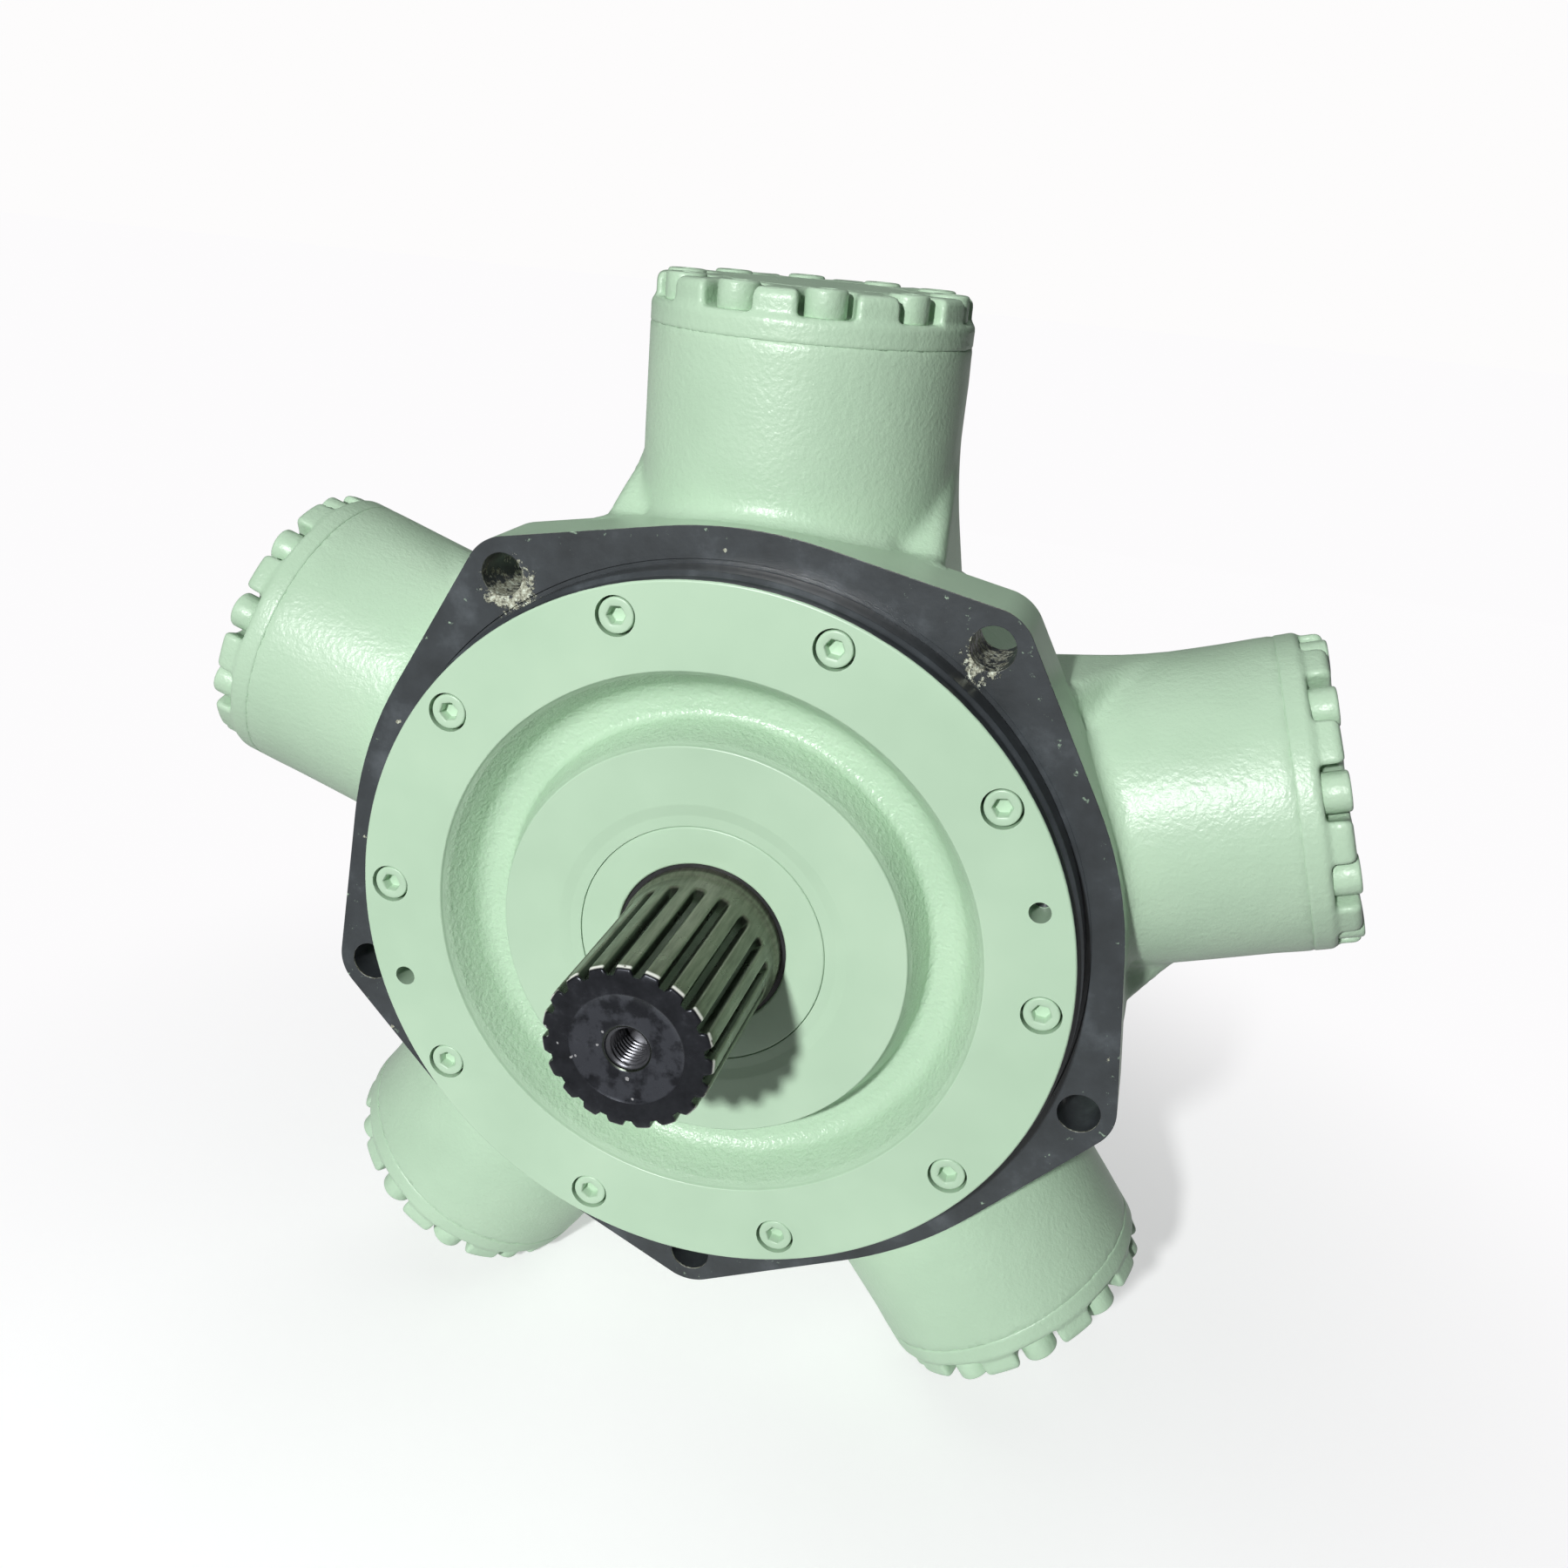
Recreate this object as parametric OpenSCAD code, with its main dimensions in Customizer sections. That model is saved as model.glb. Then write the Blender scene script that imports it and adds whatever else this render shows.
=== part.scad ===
// Five-cylinder radial piston hydraulic motor with a splined output shaft.
// Origin: centre of the mounting flange face, on the shaft axis.
// The shaft points to -Y, the first cylinder to +Z, and the motor stands on its two lower cylinder caps.

/* [Mounting flange] */
// Radius of the spigot that centres the motor in its frame
spigot_r = 190.5; // [185:0.5:194]
// How far the spigot stands out of the flange face
spigot_h = 25; // [20:1:32]
// Thickness of the mounting flange
flange_t = 25; // [18:1:32]
// Radius of the flange between its corners
flange_r = 209; // [205:1:214]
// Radius of the circle that the mounting holes lie on
mount_circle_r = 209.55; // [206:0.05:214]
// Radius of a mounting hole
mount_hole_r = 11; // [9:0.25:12]
// Radius of the rounded corner round a mounting hole
flange_corner_r = 21; // [18:0.5:24]
// How far the corners reach past the circle of the mounting holes
flange_corner_reach = 18.45; // [16:0.05:20]

/* [Casing] */
// Distance from the flange face back to the plane of the cylinders
cylinder_y = 100; // [96:1:108]
// Radius of the cast drum between the cylinders
drum_r = 188; // [180:1:200]
// Where the drum ends, behind the flange face
drum_end = 182; // [176:1:190]
// Radius of the crank chamber
chamber_r = 146; // [143:1:150]
// Front and rear walls of the crank chamber, from the cylinder plane
chamber_half = 53; // [52:1:58]
// Where the rear face of the casing lies
casing_end = 196; // [192:1:210]
// Radius of the rear boss that carries the distributor
rear_boss_r = 128; // [120:1:140]

/* [Cylinders] */
// Number of cylinders
cylinders = 5; // [5:1:5]
// Outer radius of a cylinder
arm_r = 82.3; // [78:0.5:86]
// Radius of the cylinder bore
bore_r = 52; // [48:0.5:54]
// Distance from the shaft axis to the seam under a cap
seam_reach = 293; // [286:1:316]
// Thickness of a cap's closed band
cap_band_t = 12; // [10:0.5:16]
// Height of the ribs round a cap's rim
cap_rib_h = 12; // [10:0.5:14]
// How far the ribbed rim lies inside the cylinder's outside
cap_rim_step = 2.3; // [1:0.1:5]
// How deep the cap's plug reaches into the bore
cap_plug_h = 22; // [16:1:24]
// Number of bolts in a cap
cap_bolts = 10; // [8:1:10]
// How far the bolts' middles lie inside the cylinder's outside
cap_bolt_inset = 13.8; // [13:0.1:15]
// Radius of the notch round a bolt head
cap_notch_r = 13.5; // [12:0.25:14.5]

/* [Front cover] */
// Radius of the cover's machined front face
cover_face_r = 188; // [184:0.5:190]
// Outer radius of the cast trough
trough_out_r = 144; // [138:1:148]
// Radius of the raised hub inside the trough
hub_r = 106.5; // [102:0.5:112]
// Depth of the trough
trough_depth = 17; // [12:1:20]
// Radius of the circle that the cover screws lie on
cover_screw_circle_r = 173; // [168:0.5:176]
// Number of cover screws
cover_screws = 10; // [8:1:12]
// Radius of the counterbore round a screw head
counterbore_r = 10.2; // [9.6:0.1:11]

/* [Shaft] */
// Where the end face of the shaft lies, in front of the flange face
shaft_end = 131; // [120:1:150]
// Outer radius of the spline teeth
spline_tip_r = 40.6; // [38:0.1:41.5]
// Radius at the bottom of the spline grooves
spline_root_r = 36.5; // [35:0.1:38]
// Number of spline teeth
spline_teeth = 19; // [15:1:24]
// Length of the full spline teeth
spline_length = 80; // [60:1:90]
// Radius of the shaft where the seal runs
seal_journal_r = 42; // [41.8:0.1:43]
// Radius of the shaft under the main bearings
main_journal_r = 50; // [46:0.5:52]
// Radius of the threaded hole in the shaft end
end_hole_r = 8.5; // [6:0.5:10]

/* [Crank and pistons] */
// Eccentricity, half of the piston stroke
crank_throw = 20; // [16:0.5:20.5]
// Radius of the eccentric
eccentric_r = 54; // [50:0.5:54]
// Diameter of a needle roller on the eccentric
needle_d = 7; // [6:0.5:7]
// Distance from the middle of the five-sided ring to its flats
ring_apothem = 80; // [78:0.5:82]
// Width of the five-sided ring along the shaft
ring_w = 76; // [70:1:80]
// Radius of a slipper pad
pad_r = 35; // [30:0.5:36]
// Thickness of a slipper pad
pad_t = 10; // [8:0.5:12]
// Radius of a connecting rod
rod_r = 17; // [14:0.5:18]
// Radius of a connecting rod's ball
ball_r = 20; // [19:0.5:22]
// How far the ball's middle lies under the piston's crown
ball_depth = 35; // [32:1:40]
// Length of a piston
piston_h = 85; // [75:1:88]
// Free space between a piston's crown and its cap at the end of the stroke
crown_gap = 7; // [4:0.5:12]

/* [Bearings and distributor] */
// Outer radius of a main bearing
bearing_out_r = 90; // [86:0.5:92]
// Width of a main bearing
bearing_w = 32; // [28:1:34]
// Thickness of each bearing race
race_t = 10; // [8:0.5:11]
// Number of rollers in a main bearing
main_rollers = 18; // [14:1:20]
// Number of needles on the eccentric
needles = 36; // [30:1:42]
// Outer radius of the distributor housing
housing_r = 96; // [92:1:102]
// Length of the distributor housing
housing_l = 84; // [80:1:110]
// Radius of the distributor rotor
rotor_r = 48; // [44:0.5:50]
// Radius of a main oil port
port_r = 16; // [12:0.5:18]
// Distance of each port from the middle of the port pad
port_offset = 38; // [34:1:40]
// Height of the port pad over the shaft axis
port_pad_z = 120; // [112:1:130]
// Thickness of the rear cover
rear_cover_t = 14; // [10:1:20]

/* [Fits] */
// Running clearance of pistons, rollers and slippers
running_gap = 0.1; // [0.05:0.01:0.1]
// Clearance between seated pieces
seat_gap = 0.2; // [0.1:0.05:0.3]
// Clearance of a screw in its hole
hole_gap = 0.5; // [0.3:0.1:1]

/* [Hidden] */

// Fineness of the rounds
round_fn = 96;
small_fn = 32;

// Colours
mint = "#B4D8BC";
steel = "#8E9396";
dark_steel = "#2E322F";
rubber = "#1E1F21";
brass = "#B58E4A";

// Directions of the cylinders, seen from the shaft end, from +X towards +Z
pitch = 360 / cylinders;
function arm_angle(i) = 90 - (i - 1) * pitch;
// Direction of the eccentric at rest
rest_angle = -90;
function lift(i) = crank_throw * cos(arm_angle(i) - rest_angle);
function unit(a) = [cos(a), 0, sin(a)];

// Faces along the shaft
cover_face = -spigot_h;
chamber_front = cylinder_y - chamber_half;
chamber_rear = cylinder_y + chamber_half;
ring_front = cylinder_y - ring_w / 2;
ring_rear = cylinder_y + ring_w / 2;
boss_depth = chamber_front - 1;
bearing_front = boss_depth - 2 - bearing_w;
bearing_rear = chamber_rear + 3;
// Free depth beside each inner race
race_relief = 3;
bolt_room = 45;
bolt_room_r = 19;
relief_depth = 1;
relief_w = 2.5;
retainer_t = 12;
retainer_r = 64.6;
retainer_in_r = 44.6;
seal_t = 13;
seal_r = 58;
plug_depth = 12;
plug_r = chamber_r + 3;

// Screw sizes: head radius, head height, shank radius and socket across flats
m12_head_r = 9;
m12_head_h = 12;
m12_r = 6;
m12_socket = 10;
m10_head_r = 8;
m10_head_h = 10;
m10_r = 5;
m10_socket = 8;
// How far a screw's shank reaches into its tapped hole, and the free depth under it
cover_screw_bite = 20;
cap_bolt_bite = 24;
housing_screw_bite = 20;
rear_screw_bite = 16;
tapping_spare = 4;
// Depth of the cover's counterbores
counterbore_depth = m12_head_h + 1;

// Cap
cap_face = seam_reach + cap_band_t + cap_rib_h;
cap_rim_r = arm_r - cap_rim_step;
cap_bolt_circle_r = arm_r - cap_bolt_inset;
cap_inner = seam_reach - cap_plug_h;
crown_reach = cap_inner - crank_throw - crown_gap;
ball_reach = crown_reach - ball_depth;
groove_w = 6;
groove_depth = 4.6;
groove_ring_r = groove_depth / 2 - running_gap;

// Distributor
housing_end = casing_end + housing_l;
rear_end = housing_end + rear_cover_t;
rotor_front = casing_end + 8;
rotor_rear = housing_end - 2;
pad_half_x = 64;
port_floor = 6;
port_floor_step = 3;
pad_half_y = 34;
port_y = casing_end + housing_l / 2 + 2;
housing_flange_t = 18;
housing_flange_r = 124;
spot_depth = 2;
housing_screw_circle_r = 112;
housing_screws = 8;
pad_gap_angle = 42;
port_bolt_x = 15.1;
port_bolt_y = 29.35;
port_bolt_r = 4.2;
port_bolt_depth = 22;
face_ring_r = 94;
face_groove_d = 4.4;
rear_screw_circle_r = 84;
rear_screws = 8;
rear_cover_r = 94;

// Crank
rear_journal_r = 38;
web_r = 68;
shoulder_r = main_journal_r + 8;
end_hole_depth = 36;
end_recess_r = 27;
drive_pin_r = 6;
drive_pin_offset = crank_throw / 2;
drive_pin_l = 22;
crank_rear_end = casing_end + 6;
ring_bore_r = eccentric_r + needle_d;
race_in_r = main_journal_r + running_gap / 2;
race_mid_in = main_journal_r + race_t;
race_mid_out = bearing_out_r - race_t;
roller_r = (race_mid_out - race_mid_in) / 2 - running_gap;
roller_pitch_r = (race_mid_out + race_mid_in) / 2;
needle_r = needle_d / 2 - running_gap;
needle_pitch_r = eccentric_r + needle_d / 2;

// Places a child, drawn along +Z, round the shaft axis: it then runs from y towards the shaft end
module from_rear(y) {
  translate([0, y, 0]) rotate([90, 0, 0]) children();
}

// Turns a profile of [radius, y] points round the shaft axis
module turned(points, fn = round_fn) {
  rotate([-90, 0, 0]) rotate_extrude($fn = fn) polygon([for (p = points) [p[0], p[1]]]);
}

// A tube round the shaft axis from y0 to y1
module tube(y0, y1, r_out, r_in = 0, fn = round_fn) {
  from_rear(y1) difference() {
    cylinder(h = y1 - y0, r = r_out, $fn = fn);
    if (r_in > 0) translate([0, 0, -1]) cylinder(h = y1 - y0 + 2, r = r_in, $fn = fn);
  }
}

// Places children on cylinder i: +Z runs out along the cylinder, from the shaft axis
module on_arm(i) {
  translate([0, cylinder_y, 0]) rotate([0, 90 - arm_angle(i), 0]) children();
}

// Places children at angle a and radius r round the shaft axis, keeping their own direction
module round_shaft(a, r) {
  translate(r * unit(a)) children();
}

// Points of an arc, from angle a0 to a1
function arc(cx, cy, r, a0, a1, steps = 6) =
  [for (k = [0 : steps]) let (a = a0 + (a1 - a0) * k / steps) [cx + r * cos(a), cy + r * sin(a)]];

// Socket-head screw along +Z: its head's seat is at z = 0 and its shank runs to -length
module socket_screw(head_r, head_h, shank_r, length, socket) {
  chamfer = 0.8;
  difference() {
    rotate_extrude($fn = small_fn) polygon([
      [0, -length], [shank_r - 1, -length], [shank_r, -length + 1], [shank_r, 0], [head_r, 0],
      [head_r, head_h - chamfer], [head_r - chamfer, head_h], [0, head_h]
    ]);
    translate([0, 0, head_h / 2]) cylinder(h = head_h, r = socket / sqrt(3), $fn = 6);
  }
}

// How far the flange's straight edges lie inside the true tangents of its rounds
line_inset = 0.05;
// Outline of the mounting flange: a circle with a corner at each mounting hole
module flange_outline() {
  tangent = acos((flange_r - flange_corner_r) / mount_circle_r);
  intersection() {
    union() {
      circle(r = flange_r, $fn = round_fn);
      for (i = [1 : cylinders]) {
        a = arm_angle(i) - pitch / 2;
        middle = mount_circle_r * [cos(a), sin(a)];
        translate(middle) circle(r = flange_corner_r, $fn = round_fn);
        polygon([
          (flange_r - line_inset) * [cos(a - tangent), sin(a - tangent)],
          middle + (flange_corner_r - line_inset) * [cos(a - tangent), sin(a - tangent)],
          middle + (flange_corner_r - line_inset) * [cos(a + tangent), sin(a + tangent)],
          (flange_r - line_inset) * [cos(a + tangent), sin(a + tangent)],
          [0, 0]
        ]);
      }
    }
    circle(r = mount_circle_r + flange_corner_reach, $fn = round_fn);
  }
}

// A cylinder's outside, with a slope that runs down into the drum
slope_angle = 48;
slope_z = drum_r - 3.6;
slope_bend_r = 30;
arm_foot = chamber_r - 30;
module arm_body() {
  bend_drop = slope_bend_r * tan((90 - slope_angle) / 2);
  rotate_extrude($fn = round_fn) polygon(concat(
    [[0, arm_foot], [arm_r + (slope_z - arm_foot) / tan(slope_angle), arm_foot]],
    arc(arm_r + slope_bend_r, slope_z + bend_drop, slope_bend_r, 270 - slope_angle, 180, 5),
    [[arm_r, seam_reach], [0, seam_reach]]
  ));
}

// Web between the back of the flange and a cylinder: it is widest at the flange
web_base_z = drum_r + 7;
web_base_half = 99;
web_top_half = 60;
web_h = 70;
web_front = 20;
web_rear = 52;
module front_web() {
  intersection() {
    translate([0, web_rear - cylinder_y, 0]) rotate([90, 0, 0]) linear_extrude(web_rear) polygon([
      [-web_base_half, arm_foot], [web_base_half, arm_foot], [web_base_half, web_base_z],
      [web_top_half, web_base_z + web_h], [-web_top_half, web_base_z + web_h], [-web_base_half, web_base_z]
    ]);
    rotate([90, 0, 90]) translate([0, 0, -web_base_half]) linear_extrude(2 * web_base_half) polygon([
      [web_front - cylinder_y, arm_foot], [web_rear - cylinder_y, arm_foot],
      [web_rear - cylinder_y, web_base_z + web_h - 4], [web_rear - 4 - cylinder_y, web_base_z + web_h],
      [web_front - cylinder_y, web_base_z + 6]
    ]);
  }
}

module casing() {
  color(mint) difference() {
    union() {
      from_rear(flange_t) linear_extrude(flange_t) flange_outline();
      turned([
        [0, 1], [drum_r, 1], [drum_r, drum_end - 16], [drum_r - 14, drum_end],
        [rear_boss_r + 14, drum_end], [rear_boss_r, drum_end + 8], [rear_boss_r, casing_end], [0, casing_end]
      ]);
      intersection() {
        union() {
          for (i = [1 : cylinders]) on_arm(i) {
            arm_body();
            front_web();
          }
        }
        tube(6, cylinder_y + arm_r + 2, seam_reach + arm_r);
      }
    }
    // Opening for the front cover and the crank chamber
    tube(-1, plug_depth + seat_gap, plug_r + seat_gap);
    tube(plug_depth, chamber_rear, chamber_r);
    // Cylinder bores
    for (i = [1 : cylinders]) on_arm(i) cylinder(h = seam_reach + 1, r = bore_r, $fn = round_fn);
    // Seat of the rear bearing and the opening into the distributor
    tube(chamber_rear - 1, bearing_rear + bearing_w, bearing_out_r + running_gap / 2);
    tube(chamber_rear, bearing_rear + bearing_w + race_relief, race_mid_out - 5);
    tube(chamber_rear, casing_end + 1, rear_journal_r + 10);
    // Relief at the foot of the spigot, for the edge of the frame's register
    tube(-1, relief_depth, spigot_r + relief_w, spigot_r - 1);
    // Mounting holes
    for (i = [1 : cylinders]) {
      round_shaft(arm_angle(i) - pitch / 2, mount_circle_r) {
        tube(-1, flange_t + 1, mount_hole_r, fn = small_fn);
        // Room for the bolt's head behind the flange
        tube(flange_t, flange_t + bolt_room, bolt_room_r);
      }
    }
    // Tapped holes for the front cover
    for (k = [0 : cover_screws - 1]) {
      round_shaft(cover_screw_angle(k), cover_screw_circle_r) tube(-1, cover_screw_bite + tapping_spare, m12_r + running_gap, fn = small_fn);
    }
    // Tapped holes for the cap bolts
    for (i = [1 : cylinders]) on_arm(i) cap_bolt_places() {
      translate([0, 0, seam_reach - cap_bolt_bite - tapping_spare])
        cylinder(h = cap_bolt_bite + tapping_spare + 1, r = m12_r + running_gap, $fn = small_fn);
    }
    // Tapped holes for the distributor housing
    for (k = [0 : housing_screws - 1]) {
      round_shaft(housing_screw_angle(k), housing_screw_circle_r)
        tube(casing_end - housing_screw_bite - tapping_spare, casing_end + 1, m12_r + running_gap, fn = small_fn);
    }
  }
}

function cover_screw_angle(k) = 360 * k / cover_screws;
// The housing's screws leave a gap under the port pad
function housing_screw_angle(k) = 90 + pad_gap_angle + (360 - 2 * pad_gap_angle) * k / (housing_screws - 1);
function rear_screw_angle(k) = 360 * (k + 0.5) / rear_screws;

module front_cover() {
  corner = 6;
  floor_y = cover_face + trough_depth;
  color(mint) difference() {
    turned(concat(
      [[retainer_r + running_gap, cover_face], [hub_r - 1.5, cover_face], [hub_r, cover_face + 1.5]],
      arc(hub_r + 1.5 + corner, floor_y - corner, corner, 180, 90, 5),
      arc(trough_out_r - 10 - 12, floor_y - 12, 12, 90, 25, 5),
      arc(trough_out_r + 8, cover_face + 8, 10, 205, 270, 5),
      [[cover_face_r - 1, cover_face], [cover_face_r, cover_face + 1], [cover_face_r, cover_face + 9]],
      [[spigot_r - 0.5, cover_face + 9.5], [spigot_r, cover_face + 10], [spigot_r, 0]],
      [[plug_r, 0], [plug_r, plug_depth], [bearing_out_r + 15, plug_depth]],
      [[bearing_out_r + 12, plug_depth + 3], [bearing_out_r + 12, boss_depth]],
      [[bearing_out_r + running_gap / 2, boss_depth], [bearing_out_r + running_gap / 2, bearing_front]],
      [[race_mid_out - 5, bearing_front], [race_mid_out - 5, bearing_front - race_relief]],
      [[seal_journal_r + 12, bearing_front - race_relief], [seal_journal_r + 12, cover_face + retainer_t + seal_t]],
      [[seal_r + running_gap, cover_face + retainer_t + seal_t], [seal_r + running_gap, cover_face + retainer_t]],
      [[retainer_r + running_gap, cover_face + retainer_t]]
    ));
    // Groove for the seal ring round the plug
    tube(plug_depth - 9, plug_depth - 9 + groove_w, plug_r + 1, plug_r - groove_depth);
    // Screw holes and their counterbores
    for (k = [0 : cover_screws - 1]) round_shaft(cover_screw_angle(k), cover_screw_circle_r) {
      tube(cover_face - 1, 1, m12_r + hole_gap, fn = small_fn);
      tube(cover_face - 1, cover_face + counterbore_depth, counterbore_r, fn = small_fn);
    }
    // Two tapped jacking holes
    for (a = [pitch / 4, pitch / 4 + 180]) round_shaft(a, cover_screw_circle_r) {
      tube(cover_face - 1, 1, m12_r - 0.9, fn = small_fn);
      turned([[0, cover_face - 1], [m12_r + 1, cover_face - 1], [m12_r, cover_face], [0, cover_face + m12_r]],
        small_fn);
    }
  }
}

module front_cover_screws() {
  color(steel) for (k = [0 : cover_screws - 1]) {
    round_shaft(cover_screw_angle(k), cover_screw_circle_r) from_rear(cover_face + counterbore_depth)
      socket_screw(m12_head_r, m12_head_h, m12_r, spigot_h - counterbore_depth + cover_screw_bite, m12_socket);
  }
}

module o_ring(r, section_r, fn = round_fn) {
  rotate_extrude($fn = fn) translate([r, 0]) circle(r = section_r, $fn = 16);
}

module front_cover_o_ring() {
  color(rubber) from_rear(plug_depth - 9 + groove_w / 2) o_ring(plug_r - groove_depth / 2, groove_ring_r);
}

module seal_retainer() {
  edge = 0.8;
  color(mint) turned([
    [retainer_in_r + edge, cover_face], [retainer_r - edge, cover_face], [retainer_r, cover_face + edge],
    [retainer_r, cover_face + retainer_t], [retainer_in_r, cover_face + retainer_t],
    [retainer_in_r, cover_face + edge]
  ]);
}

module shaft_seal() {
  y0 = cover_face + retainer_t;
  lip_r = seal_journal_r + running_gap;
  color(rubber) turned([
    [lip_r, cover_face + 3], [retainer_in_r - seat_gap, cover_face + 3], [retainer_in_r - seat_gap, y0],
    [seal_r, y0], [seal_r, y0 + seal_t - seat_gap], [lip_r + 5, y0 + seal_t - seat_gap],
    [lip_r + 5, y0 + 3], [lip_r, y0 + 3]
  ]);
}

module outer_race(y0) {
  lip = 3;
  color(steel) turned([
    [race_mid_out, y0], [bearing_out_r - 1, y0], [bearing_out_r, y0 + 1], [bearing_out_r, y0 + bearing_w - 1],
    [bearing_out_r - 1, y0 + bearing_w], [race_mid_out - lip, y0 + bearing_w],
    [race_mid_out - lip, y0 + bearing_w - 4], [race_mid_out, y0 + bearing_w - 4]
  ]);
}

module inner_race(y0) {
  lip = 3;
  color(steel) turned([
    [race_in_r, y0], [race_mid_in + lip, y0], [race_mid_in + lip, y0 + 4], [race_mid_in, y0 + 4],
    [race_mid_in, y0 + bearing_w], [race_in_r, y0 + bearing_w]
  ]);
}

module cage_and_rollers(y0, y1, count, at_r, r) {
  bar = r * 0.5;
  for (k = [0 : count - 1]) round_shaft(360 * k / count, at_r) tube(y0 + 2, y1 - 2, r, fn = small_fn);
  difference() {
    tube(y0, y1, at_r + bar / 2, at_r - bar / 2);
    for (k = [0 : count - 1]) {
      round_shaft(360 * k / count, at_r) tube(y0 + 1.9, y1 - 1.9, r + 0.05, fn = small_fn);
    }
  }
}

module main_rollers_at(y0) {
  color(steel) cage_and_rollers(y0 + 5, y0 + bearing_w - 5, main_rollers, roller_pitch_r, roller_r);
}

module eccentric_needles() {
  color(steel) translate(crank_throw * unit(rest_angle))
    cage_and_rollers(ring_front + 4, ring_rear - 4, needles, needle_pitch_r, needle_r);
}

// One spline groove in section: it is narrower at the bottom
module groove_section() {
  mouth = spline_tip_r * sin(360 / spline_teeth * 0.32);
  bottom = spline_root_r * sin(360 / spline_teeth * 0.17);
  polygon([
    [spline_tip_r + 2, -mouth - 1.2], [spline_tip_r + 2, mouth + 1.2], [spline_tip_r - 0.3, mouth],
    [spline_root_r, bottom], [spline_root_r, -bottom], [spline_tip_r - 0.3, -mouth]
  ]);
}

module spline_grooves() {
  run_out = 12;
  from_rear(-shaft_end + spline_length) for (k = [0 : spline_teeth - 1]) rotate([0, 0, 360 * (k + 0.5) / spline_teeth]) {
    linear_extrude(spline_length + 1) groove_section();
    translate([spline_root_r + run_out, 0, 0]) rotate([90, 0, 0])
      translate([0, 0, -spline_root_r * sin(360 / spline_teeth * 0.17)])
      cylinder(h = 2 * spline_root_r * sin(360 / spline_teeth * 0.17), r = run_out, $fn = 48);
  }
}

module crankshaft() {
  tip_chamfer = 1.5;
  color(dark_steel) difference() {
    union() {
      turned([
        [0, -shaft_end], [spline_tip_r - tip_chamfer, -shaft_end], [spline_tip_r, -shaft_end + tip_chamfer],
        [spline_tip_r, cover_face - 6], [seal_journal_r - 0.5, cover_face - 5], [seal_journal_r, cover_face - 4],
        [seal_journal_r, bearing_front - race_relief], [main_journal_r, bearing_front],
        [main_journal_r, bearing_front + bearing_w], [shoulder_r, bearing_front + bearing_w],
        [shoulder_r, ring_front - 4], [web_r, ring_front - 4], [web_r, ring_front - 1],
        [0, ring_front - 1]
      ]);
      translate(crank_throw * unit(rest_angle)) tube(ring_front - 1, ring_rear + 1, eccentric_r);
      turned([
        [0, ring_rear + 1], [web_r, ring_rear + 1], [web_r, ring_rear + 4],
        [shoulder_r, ring_rear + 4], [shoulder_r, bearing_rear],
        [main_journal_r, bearing_rear], [main_journal_r, bearing_rear + bearing_w],
        [rear_journal_r, bearing_rear + bearing_w + race_relief], [rear_journal_r, crank_rear_end],
        [0, crank_rear_end]
      ]);
    }
    spline_grooves();
    // Threaded hole in the shaft end with a centring countersink
    tube(-shaft_end - 1, -shaft_end + end_hole_depth, end_hole_r, fn = small_fn);
    turned([
      [0, -shaft_end - 1], [end_hole_r + 3, -shaft_end - 1], [end_hole_r + 2, -shaft_end],
      [end_hole_r, -shaft_end + 2], [0, -shaft_end + 2]
    ], small_fn);
    // Shallow turned recess in the end face
    tube(-shaft_end - 1, -shaft_end + 0.4, end_recess_r, end_hole_r + 2);
    // Hole for the valve drive pin
    translate(drive_pin_offset * unit(rest_angle))
      tube(crank_rear_end - drive_pin_l / 2, crank_rear_end + 1, drive_pin_r + running_gap, fn = small_fn);
  }
}

// Outline of the five-sided ring, with a flat square to each cylinder
module five_sides(apothem, corner_r) {
  intersection() {
    circle(r = corner_r, $fn = round_fn);
    polygon([for (i = [1 : cylinders]) let (a = arm_angle(i) - pitch / 2)
      apothem / cos(pitch / 2) * [cos(a), sin(a)]]);
  }
}

module five_sided_ring() {
  color(steel) translate(crank_throw * unit(rest_angle)) difference() {
    from_rear(ring_rear) linear_extrude(ring_w) five_sides(ring_apothem, ring_apothem + 16);
    tube(ring_front - 1, ring_rear + 1, ring_bore_r);
  }
}

hoop_in = ring_apothem + pad_t + 0.3;
hoop_t = 6.5;
hoop_w = 10;
hoop_offset = 24;
module slipper_retainers() {
  color(steel) translate(crank_throw * unit(rest_angle)) {
    for (y = [cylinder_y - hoop_offset, cylinder_y + hoop_offset + hoop_w]) {
      from_rear(y) linear_extrude(hoop_w) difference() {
        five_sides(hoop_in + hoop_t, (hoop_in + hoop_t) / cos(pitch / 2) - 3);
        five_sides(hoop_in, hoop_in / cos(pitch / 2) - 2);
      }
    }
  }
}

// A connecting rod with its flat slipper pad and its ball
module slipper_rod(i) {
  base = ring_apothem + 0.05;
  reach = ball_reach - sqrt(ball_r * ball_r - rod_r * rod_r);
  color(steel) on_arm(i) translate([0, 0, lift(i)]) {
    rotate_extrude($fn = round_fn) polygon(concat(
      [[0, base], [pad_r - 1, base], [pad_r, base + 1], [pad_r, base + pad_t - 1], [pad_r - 1, base + pad_t]],
      [[rod_r + 4, base + pad_t], [rod_r, base + pad_t + 8], [rod_r, reach]],
      arc(0, ball_reach, ball_r, -asin(sqrt(ball_r * ball_r - rod_r * rod_r) / ball_r), 90, 12)
    ));
  }
}

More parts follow.
